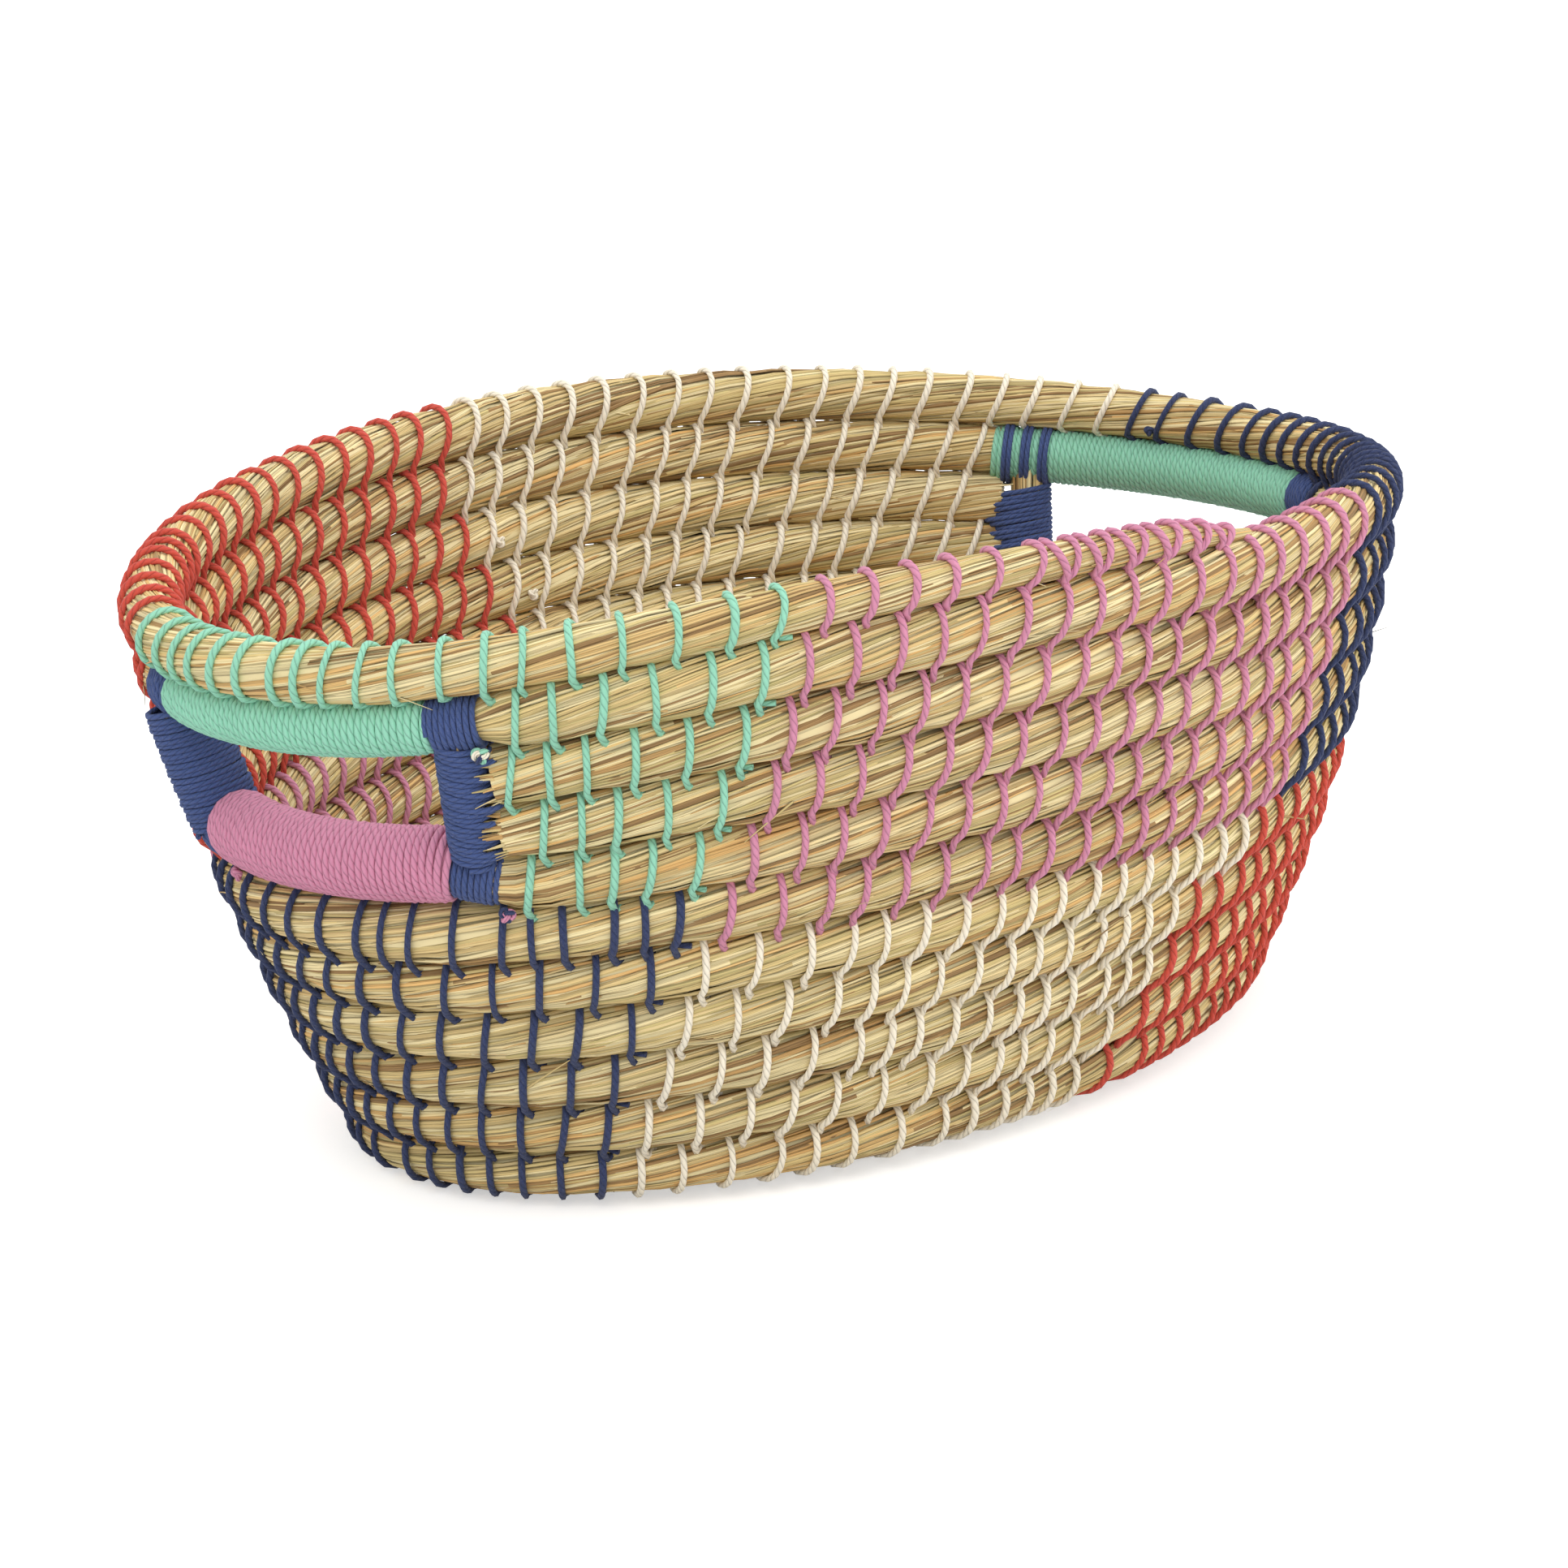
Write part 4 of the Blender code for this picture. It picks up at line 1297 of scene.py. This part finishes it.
def is_stitched(coil, turn):
    """Whether a stitch goes here. The hand holes, their posts and wraps have none."""
    row = -math.floor(turn)
    if not LINTEL_ROW <= row <= SILL_ROW:
        return True
    spans = [coil.past_posts(row, side, STITCH_CLEAR) for side in GRIP_ANGLES]
    return not any(start <= turn <= end for start, end in spans)


class BASKET_OT_stitches(bpy.types.Operator):
    """Sew the rows together with loops of cord, in blocks of five colours"""

    bl_idname = "basket.stitches"
    bl_label = "Stitches"

    def execute(self, context):
        coil = Coil(sizes())
        turns = np.array([turn for turn in stitch_turns(coil) if is_stitched(coil, turn)])
        names = np.array([cord_at(coil, turn) for turn in turns])
        for cord in CORDS:
            self.sew(coil, cord, turns[names == cord])
        return {"FINISHED"}

    def sew(self, coil, cord, turns):
        """On the tail each stitch has a second leg, which leans back to the one before."""
        doubled = coil.along(turns[turns > 1 - DOUBLED_SHARE], -TAIL_TILT)
        tilt = np.concatenate([np.zeros(len(turns)), np.full(len(doubled), -TAIL_TILT)])
        turns = np.concatenate([turns, doubled])
        middle, wide, high, ahead, out, up = coil.frames(turns)
        bare = [self.over_wrap(coil, turn) for turn in turns]
        spots = spot_mesh(
            cord, middle, out=out, up=up, ahead=ahead, wide=wide, high=high,
            spread=np.where(bare, WRAP_SPREAD, ROW_SPREAD),
            reach=np.where(bare, WRAP_REACH, ROW_REACH),
            sweep=self.sweep_at(coil, turns), tilt=tilt,
        )
        name = f"{cord}_stitches"
        piece = grown(name, spots, stitch_tree(), cord=coil.given.stitch_cord,
                      climb=coil.given.stitch_climb, material=cord_finish(cord))
        settle(piece, f"{cord}_cord")

    def sweep_at(self, coil, turns):
        """How far the stitches' feet sweep back. Towards the tail they do so most."""
        degrees = np.degrees(coil.angle_of(turns)) % 360
        front = PLAIN_SWEEP + TAIL_SWEEP * smooth((degrees - TAIL_SWEEP_FROM) / TAIL_SWEEP_RAMP)
        near_tail = (degrees > TAIL_SWEEP_FROM) & (degrees < TAIL_SWEEP_TO)
        return np.where(near_tail, front, PLAIN_SWEEP)

    def over_wrap(self, coil, turn):
        """A stitch over a wrapped bar goes in less deep."""
        row = -math.floor(turn)
        if row not in (LINTEL_ROW - 1, SILL_ROW - 1):
            return False
        spans = [coil.past_posts(row, side) for side in GRIP_ANGLES]
        return any(start < turn < end for start, end in spans)


def wind_row(coil, name, node, start, end, thickness, cord, loops, colour, drop=0.0):
    """A cord wound round a row, from one turn to another. It draws in at its ends, and a
    plain core of its colour closes the chinks."""
    turns = coil.spaced(start, end, WRAP_STEP)
    middle, _, _, _, out, up = coil.frames(turns)
    runs = coil.run_of(turns)
    edge = np.minimum(runs - runs[0], runs[-1] - runs)
    girth = (thickness - cord) / 2 - END_DRAW * (1 - smooth(edge / END_RAMP))
    finish = cord_finish(colour)
    for label, tree, settings in (
        (name, winding_tree(), dict(cord=cord, loops=loops)),
        (f"{name}_under", core_tree(), dict(sides=UNDER_SIDES)),
    ):
        mesh = path_mesh(name, middle - up * drop, out=out, up=up, wide=girth, high=girth)
        piece = grown(label, mesh, tree, material=finish, **settings)
        settle(piece, f"{colour}_cord", node)


def post_places(side):
    """Each post's name, which end of the opening it is at, and its way along the coil."""
    near, far = ("front", "back") if side == "right" else ("back", "front")
    return (near, 0, -1), (far, 1, 1)


class BASKET_OT_grips(bpy.types.Operator):
    """Wrap the bars over and under the two hand holes"""

    bl_idname = "basket.grips"
    bl_label = "Grip wraps"

    def execute(self, context):
        coil = Coil(sizes())
        given = coil.given
        bars = (
            ("grip", LINTEL_ROW, given.grip_wrap, "mint"),
            ("sill", SILL_ROW, given.sill_wrap, "pink"),
        )
        for side in GRIP_ANGLES:
            for bar, row, thickness, colour in bars:
                banded = (side, bar) == BANDED
                under_bands = given.post if banded else 0
                thicker = given.right_thicker if banded else 0
                start, end = coil.opening(row, side)
                start = coil.along(start, -WRAP_TUCK)
                end = coil.along(end, WRAP_TUCK + under_bands)
                length = coil.run_of(end) - coil.run_of(start)
                wind_row(coil, f"{side}_{bar}_cord", f"{side}_{bar}_wrap", start, end,
                         thickness + thicker, given.wrap_cord,
                         length / (given.wrap_cord * WRAP_CLOSENESS), colour, thicker / 2)
        return {"FINISHED"}


class BASKET_OT_posts(bpy.types.Operator):
    """Gather and bind the posts beside the hand holes, and tie them to the bars"""

    bl_idname = "basket.posts"
    bl_label = "Grip posts"

    def execute(self, context):
        coil = Coil(sizes())
        for side in GRIP_ANGLES:
            for end_name, end, way in post_places(side):
                self.make_post(coil, side, f"{side}_{end_name}", end, way)
        return {"FINISHED"}

    def make_post(self, coil, side, name, end, way):
        """One post, with its ties on the bars above and below it."""
        given = coil.given
        cord = given.post_cord
        rows = (
            ("upper", LINTEL_ROW, given.grip_wrap + given.tie_extra),
            ("lower", SILL_ROW, given.grip_wrap + given.tie_extra * 2),
        )
        middles = []
        for tie, row, thickness in rows:
            middle = coil.along(coil.opening(row, side)[end], way * given.post / 2)
            start, stop = (coil.along(middle, half * given.tie / 2) for half in (-1, 1))
            if (side, tie, way) == BANDED_TIE:
                self.band(coil, name, middle, thickness + given.right_thicker)
            else:
                wind_row(coil, f"{name}_{tie}_tie_cord", f"{name}_{tie}_tie", start, stop,
                         thickness, cord, given.tie / (cord * TIE_CLOSENESS), "blue")
            middles.append(middle)
        (top, _, _, ahead, out, _), (foot, *_) = (
            [found[0] for found in coil.frames(middle)] for middle in middles
        )
        rise = unit(top - foot)
        across = unit(np.cross(rise, out))
        self.gather(coil, name, foot, top, out, across)
        # Towards the wall, away from the hand hole
        across = across * np.sign(dot(across, ahead * way))
        top = top - rise * TOP_GAPS.get(name, TOP_GAP)
        foot = foot + rise * FOOT_GAPS.get(name, FOOT_GAP)
        self.bind(coil, name, foot, top, out, across, rise)

    def gather(self, coil, name, foot, top, out, across):
        """The grass inside a binding, which shows above and below it."""
        given = coil.given
        shares = np.linspace(GATHERED_FROM, GATHERED_TO, GATHERED_STEPS)
        points = foot + (top - foot) * shares[:, None]
        count = len(points)
        length = np.linalg.norm(top - foot)
        mesh = path_mesh(
            name, points, out=np.tile(out, (count, 1)), up=np.tile(across, (count, 1)),
            wide=np.full(count, given.post_depth / 2 - GATHERED_THINNER),
            high=np.full(count, given.post / 2 - GATHERED_NARROWER), way=shares * length,
            pinch=np.zeros(count), fullness=np.ones(count),
        )
        piece = grown(f"{name}_grass", mesh, bundle_tree(), strands=GATHERED_STRANDS,
                      blade_width=given.blade, twist_length=GATHERED_TWIST,
                      material=grass_finish())
        settle(piece, "grass", f"{name}_post")

    def band(self, coil, name, middle, thickness):
        """This tie is three spaced bands over the mint wrap."""
        given = coil.given
        for number, place in enumerate((-1, 0, 1)):
            spot = coil.along(middle, place * given.band_gap)
            start, stop = (coil.along(spot, way * given.post_cord) for way in (-1, 1))
            wind_row(coil, f"{name}_band_{number}", f"{name}_upper_tie", start, stop,
                     thickness + BAND_PROUD, given.post_cord, BAND_TURNS, "blue",
                     given.right_thicker / 2)

    def bind(self, coil, name, foot, top, out, across, rise):
        """Cord round the gathered grass. Its turns draw together in threes on the side of the
        wall, as teeth between the tips of the grass."""
        given = coil.given
        cord = given.post_cord
        length = np.linalg.norm(top - foot)
        loops = length / (cord * BINDING_CLOSENESS)
        shares = np.linspace(0, 1, BINDING_STEPS)
        points = foot + (top - foot) * shares[:, None]
        tooth = np.abs((shares * loops / TURNS_PER_TOOTH) % 1.0 * 2 - 1)
        teeth = given.tooth * tooth * smooth(np.minimum(shares, 1 - shares) / TOOTH_RAMP_SHARE)
        wider = EXTRA_WIDTHS.get(name, 0.0)
        half = (given.post - cord) / 2 - given.tooth / 4 + wider / 2
        points = points + across * ((teeth + wider) / 2)[:, None]
        deep = (given.post_depth - cord) / 2 + (given.post - given.post_depth) / 2 * shares**2
        bulge = OUTER_BULGES.get(name, 0.0)
        swell = bulge / 2 * (BULGE_AT_FOOT + (1 - BULGE_AT_FOOT) * shares)
        points = points + out * swell[:, None]
        deep = deep + swell
        slant = unit(across - rise * BINDING_SLANT)
        count = len(points)
        mesh = path_mesh(
            name, points, out=np.tile(out, (count, 1)), up=np.tile(slant, (count, 1)),
            wide=deep, high=half + teeth / 2,
        )
        piece = grown(f"{name}_binding_cord", mesh, winding_tree(), cord=cord, loops=loops,
                      material=cord_finish("blue"))
        settle(piece, "blue_cord", f"{name}_post_binding", f"{name}_post")


class BASKET_OT_straws(bpy.types.Operator):
    """Add the loose straws in the grooves and the grass tips beside the grip posts"""

    bl_idname = "basket.straws"
    bl_label = "Loose straws"

    def execute(self, context):
        coil = Coil(sizes())
        self.scatter(coil)
        self.add_tips(coil)
        return {"FINISHED"}

    def scatter(self, coil):
        """Short straws, most of them near the grooves."""
        given = coil.given
        rng = np.random.default_rng(STRAW_SEED)
        runs = rng.uniform(coil.run_of(coil.foot), coil.run_of(STRAW_LAST_TURN), given.straws)
        turns = coil.turn_after(runs)
        turns = np.array([turn for turn in turns if is_stitched(coil, turn)])
        count = len(turns)
        middle, wide, high, ahead, out, up = coil.frames(turns)
        # Most lie near the groove under the row, on either side of the wall
        bearing = np.radians(rng.choice((-1, 1), count, p=STRAW_SIDES) * 90)
        bearing = bearing * rng.uniform(*STRAW_SPREAD, count)
        cosine, sine = np.cos(bearing)[:, None], np.sin(bearing)[:, None]
        facing = unit(out * sine - up * cosine * STRAW_HEIGHT_SHARE)
        around = unit(np.cross(ahead, facing))
        sideways = out * sine * wide[:, None]
        spots = middle + sideways - up * cosine * STRAW_HEIGHT_SHARE * high[:, None]
        length = rng.uniform(*STRAW_LENGTHS, count)[:, None]
        turn_off = rng.normal(0, STRAW_SKEW, count)[:, None]
        reach = (ahead * rng.choice((-1, 1), count)[:, None] + around * turn_off) * length
        curl, girth = (rng.uniform(*span, count) for span in (STRAW_CURLS, STRAW_GIRTHS))
        mesh = spot_mesh("straws", spots, reach=reach, facing=facing, curl=curl, girth=girth)
        piece = grown("loose_straws", mesh, straw_tree(), blade_width=STRAW_BLADE,
                      material=grass_finish())
        settle(piece, "grass")

    def add_tips(self, coil):
        """The cut ends of the rows that stop at a post, fanned out between its teeth."""
        rng = np.random.default_rng(TIP_SEED)
        for side in GRIP_ANGLES:
            spots, reaches, facings = [], [], []
            for _, end, way in post_places(side):
                for row in range(LINTEL_ROW + 1, SILL_ROW):
                    turn = coil.past_posts(row, side, ROW_END_GAP + TIP_GAP)[end]
                    middle, wide, high, ahead, out, up = (found[0] for found in coil.frames(turn))
                    wide, high = wide * TIP_DEPTH_SHARE, high * TIP_DEPTH_SHARE
                    for _ in range(coil.given.tips):
                        angle = rng.uniform(-math.pi, math.pi)
                        cosine, sine = math.cos(angle), math.sin(angle)
                        facing = out * cosine + up * sine
                        spots.append(middle + out * cosine * wide + up * sine * high)
                        length = rng.uniform(*TIP_LENGTHS)
                        splayed = facing * rng.uniform(*TIP_SPLAYS) - ahead * way
                        reaches.append(splayed * length)
                        facings.append(facing)
            curl, girth = (rng.uniform(*span, len(spots)) for span in (TIP_CURLS, TIP_GIRTHS))
            mesh = spot_mesh("tips", spots, reach=reaches, facing=facings, curl=curl, girth=girth)
            piece = grown(f"{side}_grass_tips", mesh, straw_tree(), blade_width=TIP_BLADE,
                          material=grass_finish())
            settle(piece, "grass")


# Small knots: row, degrees, how far out and up in girths, size, the cords
KNOTS = (
    ("mint_tangle", 2, 213.5, 1.02, 1.20, 0.0050, ("mint", "navy", "cream")),
    ("foot_knot", 4, 213.5, 1.00, -0.85, 0.0046, ("navy", "pink")),
    ("pink_knot", 5, 175.0, 0.92, 1.30, 0.0042, ("pink",)),
    ("rim_knot", 0, 16.0, -1.00, -0.45, 0.0030, ("navy",)),
    ("inner_knot_left", 2, 94.0, -1.00, -0.20, 0.0036, ("cream",)),
    ("inner_knot_right", 3, 91.5, -1.00, -0.35, 0.0036, ("cream",)),
)


class BASKET_OT_ends(bpy.types.Operator):
    """Tie the small knots and leave the cords' ends where one colour gives way to the next"""

    bl_idname = "basket.ends"
    bl_label = "Knots and cord ends"

    def execute(self, context):
        coil = Coil(sizes())
        for knot in KNOTS:
            self.tie_knot(coil, *knot)
        self.leave_ends(coil)
        return {"FINISHED"}

    def tie_knot(self, coil, name, row, degrees, outward, upward, size, cords):
        """A small loose knot of one or more cords."""
        turn = coil.turn_at(row, math.radians(degrees))
        middle, wide, high, ahead, out, up = (found[0] for found in coil.frames(turn))
        centre = middle + out * outward * wide + up * upward * high
        way = np.linspace(0, 2 * math.pi, KNOT_POINTS)
        for number, cord in enumerate(cords):
            phase = way + number * KNOT_PHASE
            loops = np.stack([
                np.sin(phase) + 2 * np.sin(2 * phase),
                np.cos(phase) - 2 * np.cos(2 * phase),
                -np.sin(3 * phase),
            ], axis=1) * (size / TREFOIL_SPAN)
            turned = loops @ Matrix.Rotation(number * KNOT_TURN, 3, KNOT_AXIS)
            points = centre + turned[:, :1] * ahead + turned[:, 1:2] * up + turned[:, 2:] * out
            piece = grown(f"{name}_{cord}", path_mesh(name, points), cord_tree(),
                          cord=KNOT_CORD, material=cord_finish(cord))
            settle(piece, f"{cord}_cord")

    def leave_ends(self, coil):
        """Each block of stitches ends in a short bit of cord, pressed into the groove."""
        turns = [turn for turn in stitch_turns(coil) if turn > coil.foot]
        turns = [turn for turn in turns if is_stitched(coil, turn)]
        names = [cord_at(coil, turn) for turn in turns]
        rng = np.random.default_rng(END_SEED)
        lines = {cord: [] for cord in CORDS}
        for turn, cord, following in zip(turns, names, names[1:]):
            if cord == following:
                continue
            length = rng.uniform(*END_LENGTHS)
            steps = coil.along(turn, np.linspace(0.0, length, END_POINTS))
            middle, wide, high, _, out, up = coil.frames(steps)
            lift = np.linspace(*END_LIFTS, END_POINTS)[:, None]
            points = middle + out * wide[:, None] * lift
            lines[cord].append(points - up * high[:, None] * END_DEPTH_SHARE)
        for cord, found in lines.items():
            if found:
                name = f"{cord}_ends"
                piece = grown(name, lines_mesh(name, found), cord_tree(), cord=END_CORD,
                              material=cord_finish(cord))
                settle(piece, f"{cord}_cord")


class BASKET_OT_stage(bpy.types.Operator):
    """Set the floor, the lamps and the camera"""

    bl_idname = "basket.stage"
    bl_label = "Stage"

    def execute(self, context):
        given = context.scene.basket_stage
        context.scene.view_settings.view_transform = "Standard"
        self.set_camera(context, given)
        self.set_light(context, given)
        self.set_floor()
        return {"FINISHED"}

    def set_camera(self, context, given):
        target = CAMERA_TARGET + Vector(FOOTPRINT_MIDDLE)
        flat = math.cos(given.rise)
        sideways, forwards = math.sin(given.bearing), math.cos(given.bearing)
        back = Vector((flat * sideways, -flat * forwards, math.sin(given.rise)))
        right = (-back).cross(Vector((0, 0, 1))).normalized()
        up = back.cross(right)
        turned = right * math.cos(given.roll) + up * math.sin(given.roll)
        upright = back.cross(turned)
        eye = bpy.data.cameras.new("camera")
        eye.lens = given.lens
        eye.sensor_width = SENSOR_WIDTH
        eye.clip_start = NEAREST_SEEN
        holder = bpy.data.objects.new("camera", eye)
        rows = Matrix((turned, upright, back)).transposed().to_4x4()
        holder.matrix_world = Matrix.Translation(target + back * given.distance) @ rows
        context.scene.collection.objects.link(holder)
        context.scene.camera = holder

    def set_light(self, context, given):
        world = bpy.data.worlds.new("studio")
        context.scene.world = world
        world.use_nodes = True
        look = Graph(world.node_tree)
        ray = look.add("ShaderNodeLightPath", output="Is Camera Ray")
        seen = ray.call("MAXIMUM", ray.other("Is Glossy Ray"))
        seen = seen.call("MAXIMUM", ray.other("Is Transmission Ray"))
        strength = given.sky + seen * (1 - given.sky)
        backdrop = world.node_tree.nodes["Background"]
        backdrop.inputs["Color"].default_value = (1, 1, 1, 1)
        world.node_tree.links.new(strength.socket, backdrop.inputs["Strength"])
        for name, share, spot, size in LAMPS:
            light = bpy.data.lights.new(name, "AREA")
            light.energy = given.key * share
            light.size = size
            lamp = bpy.data.objects.new(name, light)
            aim = LAMP_TARGET - Vector(spot)
            turned = aim.to_track_quat("-Z", "Y").to_matrix().to_4x4()
            lamp.matrix_world = Matrix.Translation(spot) @ turned
            context.scene.collection.objects.link(lamp)

    def set_floor(self):
        mesh = bpy.data.meshes.new("floor")
        ways = ((-1, -1), (1, -1), (1, 1), (-1, 1))
        corners = [(x * FLOOR_HALF, y * FLOOR_HALF, FLOOR_HEIGHT) for x, y in ways]
        mesh.from_pydata(corners, [], [(0, 1, 2, 3)])
        floor = bpy.data.objects.new("floor", mesh)
        bpy.context.scene.collection.objects.link(floor)
        mesh.materials.append(find_or_make_material("pale floor", self.paint_floor))

    def paint_floor(self, material):
        look = Finish(material, Roughness=FLOOR_ROUGHNESS)
        look.shader.inputs["Base Color"].default_value = (*FLOOR_PAINT, 1)
        ray = look.add("ShaderNodeLightPath", output="Is Camera Ray")
        seen = ray.call("MAXIMUM", ray.other("Is Glossy Ray"))
        look.feed("Emission Color", look.mixed(seen, (0, 0, 0), FLOOR_GLOW))
        look.shader.inputs["Emission Strength"].default_value = 1.0


class BASKET_PT_panel(bpy.types.Panel):
    """The basket's parts, sizes and colours"""

    bl_idname = "BASKET_PT_panel"
    bl_label = "Coiled basket"
    bl_space_type = "VIEW_3D"
    bl_region_type = "UI"
    bl_category = "Basket"

    def draw(self, context):
        for made in OPERATORS:
            self.layout.operator(made.bl_idname)
        scene = context.scene
        for group in (scene.basket_sizes, scene.basket_colours, scene.basket_stage):
            box = self.layout.box()
            for name in type(group).__annotations__:
                box.prop(group, name)


OPERATORS = (
    BASKET_OT_stage,
    BASKET_OT_grass,
    BASKET_OT_stitches,
    BASKET_OT_grips,
    BASKET_OT_posts,
    BASKET_OT_straws,
    BASKET_OT_ends,
)
CLASSES = (BasketSizes, BasketColours, StageSettings, *OPERATORS, BASKET_PT_panel)


def register():
    for made in CLASSES:
        bpy.utils.register_class(made)
    bpy.types.Scene.basket_sizes = bpy.props.PointerProperty(type=BasketSizes)
    bpy.types.Scene.basket_colours = bpy.props.PointerProperty(type=BasketColours)
    bpy.types.Scene.basket_stage = bpy.props.PointerProperty(type=StageSettings)


def unregister():
    del bpy.types.Scene.basket_stage
    del bpy.types.Scene.basket_colours
    del bpy.types.Scene.basket_sizes
    for made in reversed(CLASSES):
        bpy.utils.unregister_class(made)


def main():
    register()
    bpy.ops.basket.stage()
    bpy.ops.basket.grass()
    bpy.ops.basket.stitches()
    bpy.ops.basket.grips()
    bpy.ops.basket.posts()
    bpy.ops.basket.straws()
    bpy.ops.basket.ends()


if __name__ == "__main__":
    main()
